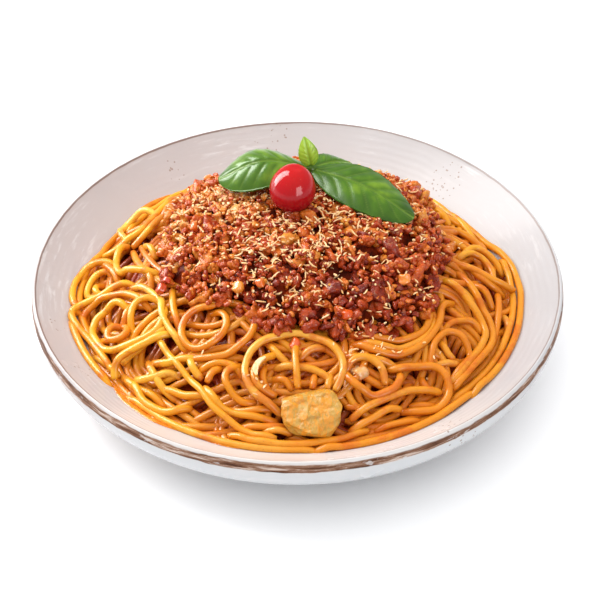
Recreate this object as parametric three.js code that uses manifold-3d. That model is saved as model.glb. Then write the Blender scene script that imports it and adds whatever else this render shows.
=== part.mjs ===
// A wide pasta plate of spaghetti under a mound of meat sauce, with grated cheese, a lump of cheese, a
// cherry tomato and a sprig of basil. Millimetres, +Z up, the origin under the middle of the foot.

import * as THREE from 'three';
import { mergeVertices } from 'three/addons/utils/BufferGeometryUtils.js';
import Module from 'manifold-3d';

const wasm = await Module();
wasm.setup();

// ---- driving dimensions -------------------------------------------------------------------------

// plate
const RIM_RADIUS = 115;
const RIM_HEIGHT = 39;
const LIP_WIDTH = 1.9;
const BAND_HEIGHT = 5;
const WALL_DROP = 30;
const FLOOR_HEIGHT = 8;
const FLOOR_RADIUS = 38;
const LIP_INNER_RADIUS = 112.6;
const WELL_POWER = 2.27;
const FOOT_RADIUS = 52;
const FOOT_INNER_RADIUS = 46;
const FOOT_HEIGHT = 4;
const FOOT_RECESS = 3;
const WELL_RINGS = [FLOOR_RADIUS, 58, 74, 88, 101, LIP_INNER_RADIUS];
const WALL_ANGLES = [20, 41, 63];
const PLATE_SIDES = 44;

// noodles
const NOODLE_RADIUS = 1.55;
const NOODLE_SIDES = 5;
const NOODLE_SINK = 0.6;
const FLATNESS = 0.4;
const MAX_STEP = 14;
const HALF_TURN = 190;
const NOODLE_TOLERANCE = 0.02;
const PILE_RADIUS = 97;
const PILE_SHORTFALL = 5.5;
const PILE_FAR_SIDE = [0.08, 0.48];
const PILE_PROFILE = [[0, 55], [35, 52], [50, 48.6], [64, 42.8], [84, 30.4], [PILE_RADIUS, 25]];
const EDGE_RISE = 1;
const EDGE_SLOPE = 1.6;
const PILE_RINGS = [88, 80, 71, 62, 50, 32];
const PILE_SIDES = 36;

// meat sauce
const MEAT_CENTRE = [3, 4];
const MEAT_RADIUS = 60;
const MEAT_THICKNESS = [[0, 12], [0.5, 11.3], [0.75, 9], [0.9, 6.8], [1, 3.8]];
const MEAT_OVAL = 2.2;
const MEAT_BULGES = [[3.2, -50, 22], [-3.5, -92, 22], [-7, -128, 20], [8, 41, 11]];
const MEAT_OVERHANG = 4.5;
const MEAT_FAR_SIDE = [0.1, 0.6];
const MEAT_CREST = 1.5;
const CREST_DEPTH = [12, 36];
const CREST_SHARE = [0.7, 0.95];
const MEAT_RINGS = 9;
const MEAT_LUMPS = 1.3;
const MEAT_TOLERANCE = 0.1;
const GRANULE_COUNT = 20;
const GRANULE_RADIUS = [3.6, 5.2];
const SHRED_COUNT = 17;
const SHRED_SIZE = [7, 1.2, 1.2];

// toppings
const TOMATO_CENTRE = [-1.8, 7.7, 77];
const TOMATO_RADIUS = 9.65;
const TOMATO_HEIGHT = 20.8;
const TOMATO_TAPER = 0.14;
const TOMATO_ROUNDNESS = 0.94;
const TOMATO_LEAN = 7;
const TOMATO_BANDS = 9;
const TOMATO_SIDES = 14;
const SPRIG_JOINT = [6.2, 27.3, 73];
const STEM_FOOT = [8, 25, 61];
const STEM_RADIUS = 1.1;
const STEM_BEND = 0.6;
const STEM_SIDES = 6;
const BUD_RADIUS = 1.9;
const LEAF_THICKNESS = 0.9;
const BLUNT = [1.1, 0.58];
const POINTED = [0.8, 0.8];
const LEAVES = [
  {
    tip: [-34.5, 24, 69.4], up: [0.1, -0.2, 1], halfWidth: 11.3, outline: BLUNT,
    arch: 7.5, droop: 4.5, wave: 0.8, cells: [8, 4],
  },
  {
    tip: [50.4, 9.3, 59.3], up: [0.25, -0.25, 1], halfWidth: 12.6, outline: BLUNT,
    arch: 4, droop: 2.2, wave: 1, cells: [8, 4],
  },
  {
    tip: [24.5, 40, 66.5], up: [0, -0.3, 1], halfWidth: 6.5, outline: POINTED,
    arch: 2, droop: 1.5, wave: 0.4, cells: [5, 2],
  },
  {
    tip: [2.9, 28, 88.5], up: [0.1, -1, 0.3], halfWidth: 4.3, outline: POINTED,
    arch: 1, droop: 0.8, wave: 0.2, cells: [5, 2],
  },
];
const CHUNK_CENTRE = [6, -84.4];
const CHUNK_SIZE = [24, 18.6, 5.6];
const CHUNK_TILT = 28;
const CHUNK_LIFT = 0.9;
const CHUNK_CELLS = [12, 6];

// room left between neighbouring solids
const GAP = 0.35;

// ---- small helpers ------------------------------------------------------------------------------

const radians = (degrees) => degrees * Math.PI / 180;

// A seeded random draw, so that every run makes the same plate of food.
function dice(seed) {
  let state = seed;
  return (low = 0, high = 1) => {
    state = (state * 1664525 + 1013904223) % 4294967296;
    return low + (high - low) * state / 4294967296;
  };
}

// Height on a profile of [distance, height] pairs, held level past its end.
function profileHeight(profile, distance) {
  const last = profile.length - 1;
  if (distance >= profile[last][0]) return profile[last][1];
  const i = profile.findIndex((pair, k) => k < last && distance < profile[k + 1][0]);
  const [x0, z0] = profile[i];
  const [x1, z1] = profile[i + 1];
  return z0 + (z1 - z0) * (distance - x0) / (x1 - x0);
}

// 0 below low, 1 above high, and a smooth rise between.
function smoothstep(value, low, high) {
  const t = Math.min(1, Math.max(0, (value - low) / (high - low)));
  return t * t * (3 - 2 * t);
}

// Closed geometry as a solid that can be joined and cut.
function solidFrom(geometry) {
  geometry.deleteAttribute('normal');
  geometry.deleteAttribute('uv');
  const merged = mergeVertices(geometry, 1e-4);
  const corners = [];
  const index = merged.index.array;
  for (let i = 0; i < index.length; i += 3) {
    const [a, b, c] = [index[i], index[i + 1], index[i + 2]];
    if (a !== b && b !== c && c !== a) corners.push(a, b, c);
  }
  return new wasm.Manifold(new wasm.Mesh({
    numProp: 3,
    vertProperties: new Float32Array(merged.attributes.position.array),
    triVerts: new Uint32Array(corners),
  }));
}

// The largest piece of a solid, without sealed hollows and loose scraps.
function mainPiece(solid) {
  const pieces = solid.decompose().filter((piece) => piece.volume() > 0);
  return pieces.reduce((best, piece) => (piece.volume() > best.volume() ? piece : best));
}

function geometryFrom(solid) {
  const mesh = solid.getMesh();
  const geometry = new THREE.BufferGeometry();
  geometry.setAttribute('position', new THREE.BufferAttribute(new Float32Array(mesh.vertProperties), 3));
  geometry.setIndex(Array.from(mesh.triVerts));
  geometry.computeVertexNormals();
  return geometry;
}

// A closed body round the Z axis, star-shaped in plan, from rings of points: each ring is a function
// that gives the point at an angle. It starts and ends on a single point.
function ringBody(start, rings, end, sides) {
  const positions = [...start];
  for (const ring of rings) {
    for (let k = 0; k < sides; k += 1) positions.push(...ring(2 * Math.PI * k / sides));
  }
  positions.push(...end);
  const at = (ring, k) => 1 + ring * sides + k % sides;
  const last = 1 + rings.length * sides;
  const index = [];
  for (let k = 0; k < sides; k += 1) {
    index.push(0, at(0, k + 1), at(0, k));
    for (let ring = 0; ring < rings.length - 1; ring += 1) {
      index.push(at(ring, k), at(ring + 1, k + 1), at(ring + 1, k));
      index.push(at(ring, k), at(ring, k + 1), at(ring + 1, k + 1));
    }
    index.push(last, at(rings.length - 1, k), at(rings.length - 1, k + 1));
  }
  const geometry = new THREE.BufferGeometry();
  geometry.setAttribute('position', new THREE.Float32BufferAttribute(positions, 3));
  geometry.setIndex(index);
  return geometry;
}

// A regular polygon with the area of a circle.
function polygon(radius, sides) {
  const reach = radius * Math.sqrt(2 * Math.PI / (sides * Math.sin(2 * Math.PI / sides)));
  const corners = Array.from({ length: sides }, (_, k) => {
    const angle = 2 * Math.PI * k / sides;
    return new THREE.Vector2(reach * Math.cos(angle), reach * Math.sin(angle));
  });
  return new THREE.Shape(corners);
}

// ---- plate --------------------------------------------------------------------------------------

// Inner surface of the plate: a flat floor and a wall that steepens up to the lip.
function wellHeight(radius) {
  const rise = Math.max(0, radius - FLOOR_RADIUS) / (LIP_INNER_RADIUS - FLOOR_RADIUS);
  return FLOOR_HEIGHT + (RIM_HEIGHT - 0.5 - FLOOR_HEIGHT) * rise ** WELL_POWER;
}

function plateGeometry() {
  const profile = [new THREE.Vector2(0, FLOOR_HEIGHT)];
  for (const radius of WELL_RINGS) {
    profile.push(new THREE.Vector2(radius, wellHeight(radius)));
  }
  const bandFoot = RIM_HEIGHT - BAND_HEIGHT;
  profile.push(new THREE.Vector2(RIM_RADIUS - LIP_WIDTH, RIM_HEIGHT));
  profile.push(new THREE.Vector2(RIM_RADIUS, bandFoot));
  for (const angle of WALL_ANGLES) {
    const radius = FOOT_RADIUS + (RIM_RADIUS - FOOT_RADIUS) * Math.cos(radians(angle));
    profile.push(new THREE.Vector2(radius, bandFoot - WALL_DROP * Math.sin(radians(angle))));
  }
  profile.push(new THREE.Vector2(FOOT_RADIUS, FOOT_HEIGHT));
  profile.push(new THREE.Vector2(FOOT_RADIUS - 1, 0));
  profile.push(new THREE.Vector2(FOOT_INNER_RADIUS, 0));
  profile.push(new THREE.Vector2(FOOT_INNER_RADIUS - 1, FOOT_RECESS));
  profile.push(new THREE.Vector2(0, FOOT_RECESS));
  const geometry = new THREE.LatheGeometry(profile.reverse(), PLATE_SIDES);
  return geometry.rotateX(Math.PI / 2);
}

// ---- spaghetti ----------------------------------------------------------------------------------

// How far out the heap lies at an angle: less at the far side.
function pileReach(angle) {
  return PILE_RADIUS - PILE_SHORTFALL * smoothstep(Math.sin(angle), ...PILE_FAR_SIDE);
}

// Top of the bare heap that the outer noodles lie on, gently uneven. It runs out just above the plate.
function pileHeight(x, y) {
  const radius = Math.hypot(x, y);
  const inward = Math.max(0, pileReach(Math.atan2(y, x)) - radius);
  const edge = wellHeight(Math.min(radius, LIP_INNER_RADIUS)) + EDGE_RISE;
  const swell = Math.sin(x / 14 + 1) * Math.sin(y / 16) + Math.sin(x / 10 - y / 12);
  const top = profileHeight(PILE_PROFILE, radius) + 0.5 * swell * Math.min(1, inward / 12);
  return Math.min(Math.max(top, edge), edge + EDGE_SLOPE * inward);
}

function pileCore(raise = 0) {
  const ring = (reach, height) => (angle) => {
    const radius = reach(angle);
    const x = radius * Math.cos(angle);
    const y = radius * Math.sin(angle);
    return [x, y, height(x, y)];
  };
  const top = (x, y) => pileHeight(x, y) + raise;
  const seat = (x, y) => wellHeight(Math.hypot(x, y)) + 1.5 * GAP;
  const rings = [
    ...WELL_RINGS.filter((radius) => radius <= PILE_RINGS[0]).map((radius) => ring(() => radius, seat)),
    ring(pileReach, seat),
    ring(pileReach, top),
    ...PILE_RINGS.map((radius) => ring(() => radius, top)),
  ];
  return solidFrom(ringBody([0, 0, seat(0, 0)], rings, [0, 0, top(0, 0)], PILE_SIDES));
}

// Heights of what lies in the plate, on a square grid, so that each noodle lies on those before it.
class Surface {
  constructor(reach, cell, height) {
    this.reach = reach;
    this.cell = cell;
    this.count = Math.ceil(2 * reach / cell);
    this.heights = new Float32Array(this.count * this.count);
    for (let i = 0; i < this.heights.length; i += 1) {
      const x = (i % this.count) * cell - reach;
      const y = Math.floor(i / this.count) * cell - reach;
      this.heights[i] = height(x, y);
    }
  }

  // Calls visit(cell number, lift) for the cells under a ball, lift being the ball's rise above them.
  under(x, y, radius, visit) {
    const span = Math.ceil(radius / this.cell);
    const column = Math.round((x + this.reach) / this.cell);
    const row = Math.round((y + this.reach) / this.cell);
    for (let j = row - span; j <= row + span; j += 1) {
      for (let i = column - span; i <= column + span; i += 1) {
        const dx = i * this.cell - this.reach - x;
        const dy = j * this.cell - this.reach - y;
        const lift = radius * radius - dx * dx - dy * dy;
        if (lift > 0) visit(j * this.count + i, Math.sqrt(lift));
      }
    }
  }

  rest(x, y, radius) {
    let height = -Infinity;
    this.under(x, y, radius, (cell, lift) => {
      height = Math.max(height, this.heights[cell] + lift);
    });
    return height;
  }

  press(x, y, z, radius) {
    this.under(x, y, radius, (cell, lift) => {
      this.heights[cell] = Math.max(this.heights[cell], z + lift);
    });
  }
}

// Courses of the noodles in plan. Each is a chain of points [x, y] and of arcs
// [centre x, centre y, radius x, radius y, from, to], with angles in degrees from +X.
const COURSES = [
  // round the rim, lowest first
  [[0, 0, 94.3, 92.6, -50, 14]],
  [[-93, 12], [-95, 4], [-95.4, -4], [-94.2, -12], [-91.5, -22], [-87.5, -32], [-82, -42]],
  [[0, 0, 94.5, 96.2, -138, -84]],
  [[0, 0, 96.3, 96.3, -86, -40]],
  [[0, 0, 97.7, 96.1, -44, -4], [97.2, 6], [95, 16.3], [90.8, 26.6], [85.6, 36.2], [80.5, 45],
    [72.8, 52.6], [66, 59]],
  [[66.5, 57.5], [58.5, 66.6], [50.6, 73], [43, 79.3], [0, 0, 90.5, 90, 66, 130]],
  [[-56, 71], [-64.7, 67], [-71, 61.4], [-76.6, 53.4], [-78.9, 45.3], [-83, 36.8], [-86, 29.6],
    [-88.9, 20.6], [-92.8, 11.5], [-96.5, 3]],
  [[-97.3, -20.4], [-94.8, -28.5], [-91.3, -36.7], [-87.2, -44.9], [-82.1, -52.5], [-75.9, -60.2]],
  [[0, 0, 87, 88, 22, 64]],
  [[0, 0, 86, 87, 62, 112]],
  [[0, 0, 87, 86, 110, 156]],
  [[0, 0, 79, 81, 28, 82]],
  [[0, 0, 79, 80, 86, 140]],
  [[64, 34], [56, 50], [40, 64], [18, 72], [-6, 73]],
  [[-12, 74], [-36, 66], [-54, 50], [-62, 34]],
  // front left
  [[-68, -58], [-65, -64], [-62, -70], [-56, -75], [-50, -77], [-42, -74.5]],
  [[-37, -70], [-32, -77.5], [-27, -80], [-20, -82], [-10.5, -83], [-7.5, -82]],
  [[-22, -62.5], [-27, -65.5], [-28.7, -69], [-27.5, -72.6], [-24, -75.6], [-20, -77], [-16, -75.6]],
  [[-66, -58], [-63, -61.5], [-59, -62], [-55, -61], [-51, -60.5], [-47, -62]],
  [[-57.5, -44], [-53.5, -52], [-45.5, -63], [-39, -71], [-33.5, -79], [-28, -83.5], [-22, -87.3],
    [-15, -90], [-8, -90.6]],
  [[-27, -88], [-18.5, -92], [-10.5, -93.4], [0, -94], [11, -92.6], [17, -91], [23, -88], [28.5, -85]],
  // left
  [[-93.5, -21.5], [-90.5, -16], [-85, -13.5], [-77.5, -14.5], [-71.5, -18], [-66.5, -22.5], [-61, -28]],
  [[-92, -16], [-96, -17], [-96.3, -21.5], [-93, -27.5], [-88, -33.5], [-84, -40], [-79.5, -47],
    [-76, -52.5]],
  [[-78, 7], [-81, 10], [-87, 12.5], [-93.5, 10.5], [-97.4, 3.5], [-98.3, -4], [-97, -10.5],
    [-93, -15.5]],
  [[-96.5, -22], [-96.8, -18], [-94, -15], [-89, -13], [-84, -11.5], [-79, -10], [-74, -9], [-69, -10.5]],
  [[-89, 21], [-83, 20], [-76.5, 25], [-71, 28.5], [-65.5, 36], [-61.5, 43], [-58, 52], [-54.5, 56]],
  [[-64, 39.5], [-69, 43], [-75, 43.5], [-79.5, 39.5], [-80.5, 33], [-79, 28], [-75.5, 24]],
  [[-75, 20.3], [-78.3, 18.5], [-80, 12.5], [-79.5, 6], [-77.3, 0.5], [-73.5, -4], [-69, -6.3],
    [-64, -8.5], [-58.5, -9]],
  [[-71, -12.8], [-66.5, -16], [-61.5, -21], [-58, -25.5], [-56, -31]],
  [[-71, -24.5], [-77, -20], [-82.5, -21.5], [-86, -24.5], [-86.8, -29.5], [-85, -35], [-81, -41],
    [-75.5, -45], [-70, -46.5], [-64.5, -46], [-60, -44], [-56.8, -41], [-55, -36], [-55.3, -30]],
  [[-57, -27], [-60, -25.7], [-64, -25], [-67.5, -26.5], [-69.3, -30.5], [-69.2, -35], [-67.5, -39]],
  [[-75, -37, 4.3, 4.3, 60, 430]],
  [[-51, -43], [-55, -45.3], [-60.5, -47], [-66, -49], [-71, -50.8], [-74.5, -53.5], [-74.7, -57.5]],
  [[-57.3, -24.5], [-56.5, -30], [-55.8, -36], [-53, -42], [-49, -48], [-45, -52]],
  [[-38, -45.5, 9.3, 9.3, 80, -280], [-33.3, -47, 16, 12.3, 80, -130]],
  // front
  [[-8.5, -59.5], [-11, -62], [-14.5, -64.5], [-17, -68], [-16.6, -71.8], [-13.8, -74.3], [-8, -75.5]],
  [[-0.5, -54], [-0.7, -62], [-0.2, -69], [0.4, -74.5]],
  [[-1.2, -67, 19.6, 14.6, -35, 258]],
  // right
  [[54.8, -32], [54.7, -37], [52.6, -43], [48.5, -47], [43, -50], [36.5, -51.6], [29, -51.4],
    [22, -50.6]],
  [[66, -23.5], [62, -26.6], [59.8, -31], [59.2, -36.5], [57, -42], [53.3, -47.8], [49, -52],
    [43, -56.2], [38, -58.2], [31, -58.2], [27, -56.8], [21.5, -54]],
  [[40.8, -62.8], [41.3, -66.5], [39.5, -70.8], [35.5, -74], [29.5, -75.7], [24, -74.8], [20.5, -71.5],
    [18.5, -67]],
  [[62, -61.5], [66, -56.7], [69.5, -52], [71.2, -48], [69.5, -44.3], [66.6, -41.5], [62.3, -41.3],
    [59, -44.3], [56, -49], [54.6, -54], [53.8, -57]],
  [[36, -63], [40.3, -63.4], [45.5, -61.5], [49.7, -59.5], [54, -58.8], [58, -60], [60.5, -63.3],
    [61.2, -67.5], [59, -71.8], [54.5, -75], [50, -76.3], [46, -76], [41, -75]],
  [[20.7, -83], [26, -80.7], [31, -78], [38.5, -74], [46, -70], [52.3, -68], [58.5, -66.5]],
  [[20.5, -87], [25.5, -84.8], [31, -81.8], [37.3, -78.2], [41.5, -76.5]],
  [[70, 9.5], [76.3, 13.6], [82, 13.2], [85.6, 8.5], [86.2, 3], [85, -1]],
  [[68.5, 2], [73.5, -0.5], [78.8, -2.4], [85, -4.9], [91, -5], [95, -2.4]],
  [[86.8, -7.8], [86.5, -16], [85.5, -23.5], [84, -30.5], [81.8, -37.3]],
  [[61.5, -12], [69, -18.6], [73, -23.5], [76, -27.5], [78.2, -31.5], [78.7, -36.5], [76.3, -42.3],
    [72.7, -48.2], [66, -58.5], [62, -62]],
  [[68.7, -2.8], [72, -8.5], [75, -13.3], [79.4, -22.8], [81.6, -27.6], [82.3, -33], [80.8, -40],
    [76.8, -46.5], [68, -59], [63, -64.5]],
];

// The longest part of a course that keeps clear of the meat and of the lump of cheese.
function clearRun(points) {
  const runs = [[]];
  for (const { x, y, z } of points) {
    const clear = Math.min(meatReach(x, y), chunkReach(x, y)) > NOODLE_RADIUS + 2 * GAP;
    if (clear) runs[runs.length - 1].push(new THREE.Vector3(x, y, z));
    else if (runs[runs.length - 1].length > 0) runs.push([]);
  }
  return runs.reduce((best, run) => (run.length > best.length ? run : best));
}

// Plan points of a course, a millimetre apart.
function planPoints(course) {
  const points = [];
  for (const step of course) {
    if (step.length === 2) {
      points.push(new THREE.Vector3(step[0], step[1], 0));
      continue;
    }
    const [cx, cy, rx, ry, from, to] = step;
    const parts = Math.ceil(Math.abs(to - from) / 20);
    for (let i = 0; i <= parts; i += 1) {
      const angle = radians(from + (to - from) * i / parts);
      points.push(new THREE.Vector3(cx + rx * Math.cos(angle), cy + ry * Math.sin(angle), 0));
    }
  }
  const curve = new THREE.CatmullRomCurve3(points, false, 'centripetal');
  return curve.getSpacedPoints(Math.round(curve.getLength()));
}

// Lays a noodle on the surface: it follows what is under it, bridges dips and drapes off edges.
function layNoodle(points, surface) {
  const lag = 6;
  const floor = points.map((point, i) => {
    const height = surface.rest(point.x, point.y, NOODLE_RADIUS) - NOODLE_SINK;
    if (i >= lag) {
      const earlier = points[i - lag];
      surface.press(earlier.x, earlier.y, earlier.z, NOODLE_RADIUS);
    }
    point.z = height;
    return height;
  });
  const reach = 8;
  const slope = 0.35;
  points.forEach((point, i) => {
    let height = floor[i];
    for (let k = Math.max(0, i - reach); k <= Math.min(floor.length - 1, i + reach); k += 1) {
      height = Math.max(height, floor[k] - slope * Math.max(0, Math.abs(k - i) - 2));
    }
    point.z = height;
  });
  points.forEach((point) => surface.press(point.x, point.y, point.z, NOODLE_RADIUS));
}

// One stretch of noodle as a closed tube.
function tube(points, step) {
  const curve = new THREE.CatmullRomCurve3(points, false, 'centripetal');
  const steps = Math.max(2, Math.round(curve.getLength() / step));
  const section = polygon(NOODLE_RADIUS, NOODLE_SIDES);
  return solidFrom(new THREE.ExtrudeGeometry(section, { steps, extrudePath: curve, bevelEnabled: false }));
}

// A noodle's tubes: a new one starts after each half turn, so that none crosses itself.
function noodleSolids(points) {
  const solids = [];
  const overlap = 2;
  let start = 0;
  let turned = 0;
  let length = 0;
  const heading = (i) => Math.atan2(points[i + 1].y - points[i].y, points[i + 1].x - points[i].x);
  for (let i = 1; i < points.length - 1; i += 1) {
    let bend = heading(i) - heading(i - 1);
    if (bend > Math.PI) bend -= 2 * Math.PI;
    if (bend < -Math.PI) bend += 2 * Math.PI;
    turned += Math.abs(bend);
    length += 1;
    const last = i === points.length - 2;
    if (turned > radians(HALF_TURN) || last) {
      const end = last ? points.length : i + overlap;
      const bendRadius = length / Math.max(turned, 0.01);
      const stretch = points.slice(Math.max(0, start), end).filter((point, k, all) => (
        k % 3 === 0 || k === all.length - 1
      ));
      solids.push(tube(stretch, Math.min(MAX_STEP, Math.sqrt(8 * FLATNESS * bendRadius))));
      start = i;
      turned = 0;
      length = 0;
    }
  }
  return solids;
}

function plateSurface() {
  return new Surface(RIM_RADIUS, 1, (x, y) => {
    const radius = Math.hypot(x, y);
    if (radius < pileReach(Math.atan2(y, x))) return pileHeight(x, y);
    return wellHeight(Math.min(radius, LIP_INNER_RADIUS)) + NOODLE_SINK + 1.5 * GAP;
  });
}

function spaghettiSolid() {
  const surface = plateSurface();
  const solids = [pileCore()];
  for (const course of COURSES) {
    const points = clearRun(planPoints(course));
    layNoodle(points, surface);
    solids.push(...noodleSolids(points));
  }
  return mainPiece(wasm.Manifold.union(solids)).simplify(NOODLE_TOLERANCE);
}

// ---- meat sauce ---------------------------------------------------------------------------------

// Outline of the meat, wider than deep, bulged and lobed, and farther out at the far side.
function meatRadius(angle) {
  const oval = MEAT_OVAL * Math.cos(2 * angle);
  const bulges = MEAT_BULGES.reduce((sum, [size, middle, width]) => (
    sum + size * Math.exp(-(((angle - radians(middle)) / radians(width)) ** 2))
  ), 0);
  const lobes = 0.9 * Math.sin(7 * angle + 1) + 0.7 * Math.sin(11 * angle + 2);
  const far = MEAT_OVERHANG * smoothstep(Math.sin(angle), ...MEAT_FAR_SIDE);
  return MEAT_RADIUS + oval + bulges + lobes + far;
}

// How far a point in plan lies outside the meat.
function meatReach(x, y) {
  const dx = x - MEAT_CENTRE[0];
  const dy = y - MEAT_CENTRE[1];
  return Math.hypot(dx, dy) - meatRadius(Math.atan2(dy, dx));
}

// Top of the meat: its thickness falls off towards the outline, less so at the far side.
function meatHeight(x, y) {
  const dx = x - MEAT_CENTRE[0];
  const dy = y - MEAT_CENTRE[1];
  const share = Math.hypot(dx, dy) / meatRadius(Math.atan2(dy, dx));
  const crest = MEAT_CREST * smoothstep(dy, ...CREST_DEPTH) * smoothstep(share, ...CREST_SHARE);
  return pileHeight(x, y) + profileHeight(MEAT_THICKNESS, share) + crest;
}

// The meat's body between the heap and its own lumpy top. Both faces are rings of 6, 12, 18 ...
// points, so that their triangles are of one size, and they meet in a low upright edge.
function meatCore(roll) {
  const spots = [[0, 0]];
  for (let ring = 1; ring <= MEAT_RINGS; ring += 1) {
    for (let k = 0; k < 6 * ring; k += 1) spots.push([ring / MEAT_RINGS, Math.PI * k / (3 * ring)]);
  }
  const triangles = [];
  const at = (ring, k) => (ring === 0 ? 0 : 1 + 3 * ring * (ring - 1) + k % (6 * ring));
  for (let ring = 1; ring <= MEAT_RINGS; ring += 1) {
    for (let k = 0; k < 6 * ring; k += 1) {
      const sector = Math.floor(k / ring);
      const inner = k - sector;
      triangles.push([at(ring - 1, inner), at(ring, k), at(ring, k + 1)]);
      if (k % ring === ring - 1) continue;
      triangles.push([at(ring - 1, inner), at(ring, k + 1), at(ring - 1, inner + 1)]);
    }
  }
  const point = ([share, around], lift) => {
    const angle = around > Math.PI ? around - 2 * Math.PI : around;
    const x = MEAT_CENTRE[0] + share * meatRadius(angle) * Math.cos(angle);
    const y = MEAT_CENTRE[1] + share * meatRadius(angle) * Math.sin(angle);
    return [x, y, lift === undefined ? pileHeight(x, y) + 2 * GAP : meatHeight(x, y) + lift];
  };
  const top = spots.map((spot) => point(spot, roll(-MEAT_LUMPS, MEAT_LUMPS)));
  const bottom = spots.map((spot) => point(spot));
  const index = [];
  for (const [a, b, c] of triangles) {
    index.push(a, b, c, a + spots.length, c + spots.length, b + spots.length);
  }
  for (let k = 0; k < 6 * MEAT_RINGS; k += 1) {
    const [a, b] = [at(MEAT_RINGS, k), at(MEAT_RINGS, k + 1)];
    index.push(a, a + spots.length, b, b, a + spots.length, b + spots.length);
  }
  const geometry = new THREE.BufferGeometry();
  geometry.setAttribute('position', new THREE.Float32BufferAttribute([...top, ...bottom].flat(), 3));
  geometry.setIndex(index);
  return solidFrom(geometry);
}

// A crumb of minced meat: a lumpy, slightly flattened ball.
function granule(x, y, radius, roll) {
  const geometry = new THREE.IcosahedronGeometry(radius, 0);
  geometry.scale(roll(0.85, 1.25), roll(0.85, 1.25), roll(0.75, 1));
  geometry.rotateX(roll(0, Math.PI));
  geometry.rotateZ(roll(0, Math.PI));
  geometry.translate(x, y, meatHeight(x, y) - roll(0, 0.3) * radius);
  return solidFrom(geometry);
}

// Points spread evenly over the meat, by golden-angle turns, each a little off its place.
function spread(count, reach, roll) {
  const golden = Math.PI * (3 - Math.sqrt(5));
  return Array.from({ length: count }, (_, i) => {
    const angle = golden * i + roll(-0.12, 0.12);
    const share = reach * Math.sqrt((i + 0.5) / count);
    const radius = share * meatRadius(angle) + roll(-1.5, 1.5);
    return [MEAT_CENTRE[0] + radius * Math.cos(angle), MEAT_CENTRE[1] + radius * Math.sin(angle)];
  });
}

function shred(x, y, roll) {
  const geometry = new THREE.BoxGeometry(SHRED_SIZE[0] * roll(0.7, 1.2), SHRED_SIZE[1], SHRED_SIZE[2]);
  geometry.rotateY(roll(-0.25, 0.25));
  geometry.rotateZ(roll(0, Math.PI));
  geometry.translate(x, y, meatHeight(x, y) + 0.8);
  return solidFrom(geometry);
}

// What is left of the meat once the noodles below and the toppings pressed into it have their room.
function meatSolid(...rooms) {
  const roll = dice(7);
  const granules = spread(GRANULE_COUNT, 0.97, roll).map(([x, y]) => (
    granule(x, y, roll(...GRANULE_RADIUS), roll)
  ));
  const shreds = spread(SHRED_COUNT, 0.9, roll)
    .filter(([x, y]) => Math.hypot(x - TOMATO_CENTRE[0], y - TOMATO_CENTRE[1]) > TOMATO_RADIUS + 2)
    .map(([x, y]) => shred(x, y, roll));
  const heap = wasm.Manifold.union([meatCore(roll), ...granules, ...shreds]);
  const cut = rooms.reduce((rest, room) => rest.subtract(room), heap.subtract(pileCore(GAP)));
  return mainPiece(cut).simplify(MEAT_TOLERANCE);
}

// ---- toppings -----------------------------------------------------------------------------------

// The tomato is a little narrower above than below, and leans to the right.
function tomatoGeometry(room = 0) {
  const profile = [];
  for (let i = 0; i <= TOMATO_BANDS; i += 1) {
    const angle = Math.PI * (i / TOMATO_BANDS - 0.5);
    const taper = 1 - TOMATO_TAPER * Math.sin(angle);
    const radius = (TOMATO_RADIUS + room) * Math.abs(Math.cos(angle)) ** TOMATO_ROUNDNESS * taper;
    const height = (TOMATO_HEIGHT / 2 + room) * Math.sin(angle);
    profile.push(new THREE.Vector2(i % TOMATO_BANDS === 0 ? 0 : radius, height));
  }
  const geometry = new THREE.LatheGeometry(profile, TOMATO_SIDES);
  return geometry.rotateX(Math.PI / 2).rotateY(radians(TOMATO_LEAN)).translate(...TOMATO_CENTRE);
}

// A leaf: base, tip and up direction, its widest half width, the powers that shape its outline, how far
// it arches along its length, how far its edges drop, and how many cells it has along and across. Both
// faces are split alike.
function leaf({ base, tip, up, halfWidth, outline, arch, droop, wave, cells }) {
  const [lead, swell] = outline;
  const [along, across] = cells;
  const start = new THREE.Vector3(...base);
  const axis = new THREE.Vector3(...tip).sub(start);
  const side = new THREE.Vector3(...up).cross(axis).normalize();
  const normal = axis.clone().cross(side).normalize();
  const point = (i, j, lift) => {
    const u = i / along;
    const v = 2 * j / across - 1;
    const width = halfWidth * Math.sin(Math.PI * u ** lead) ** swell;
    const height = arch * 4 * u * (1 - u) - droop * v * v + wave * v * Math.sin(2 * Math.PI * u);
    const body = lift * Math.sin(Math.PI * u) * (1 - v * v);
    return start.clone().addScaledVector(axis, u).addScaledVector(side, v * width)
      .addScaledVector(normal, height * Math.sin(Math.PI * u) ** 0.5 + body);
  };
  const positions = [];
  const cell = (corners) => corners.forEach((corner) => positions.push(...corner.toArray()));
  for (let i = 0; i < along; i += 1) {
    for (let j = 0; j < across; j += 1) {
      for (const lift of [LEAF_THICKNESS, 0]) {
        const corners = [[i, j], [i + 1, j], [i + 1, j + 1], [i, j + 1]];
        const [a, b, c, d] = corners.map(([m, n]) => point(m, n, lift));
        if (lift > 0) cell([a, b, c, a, c, d]);
        else cell([a, c, b, a, d, c]);
      }
    }
  }
  const geometry = new THREE.BufferGeometry();
  geometry.setAttribute('position', new THREE.Float32BufferAttribute(positions, 3));
  return solidFrom(geometry);
}

// The stem leans a little and is planted in the meat.
function stem(radius) {
  const joint = new THREE.Vector3(...SPRIG_JOINT);
  const foot = new THREE.Vector3(...STEM_FOOT);
  const middle = joint.clone().lerp(foot, 0.5).add(new THREE.Vector3(STEM_BEND, 0, 0));
  const extrudePath = new THREE.CatmullRomCurve3([joint, middle, foot]);
  const section = polygon(radius, STEM_SIDES);
  return solidFrom(new THREE.ExtrudeGeometry(section, { steps: 4, extrudePath, bevelEnabled: false }));
}

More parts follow.
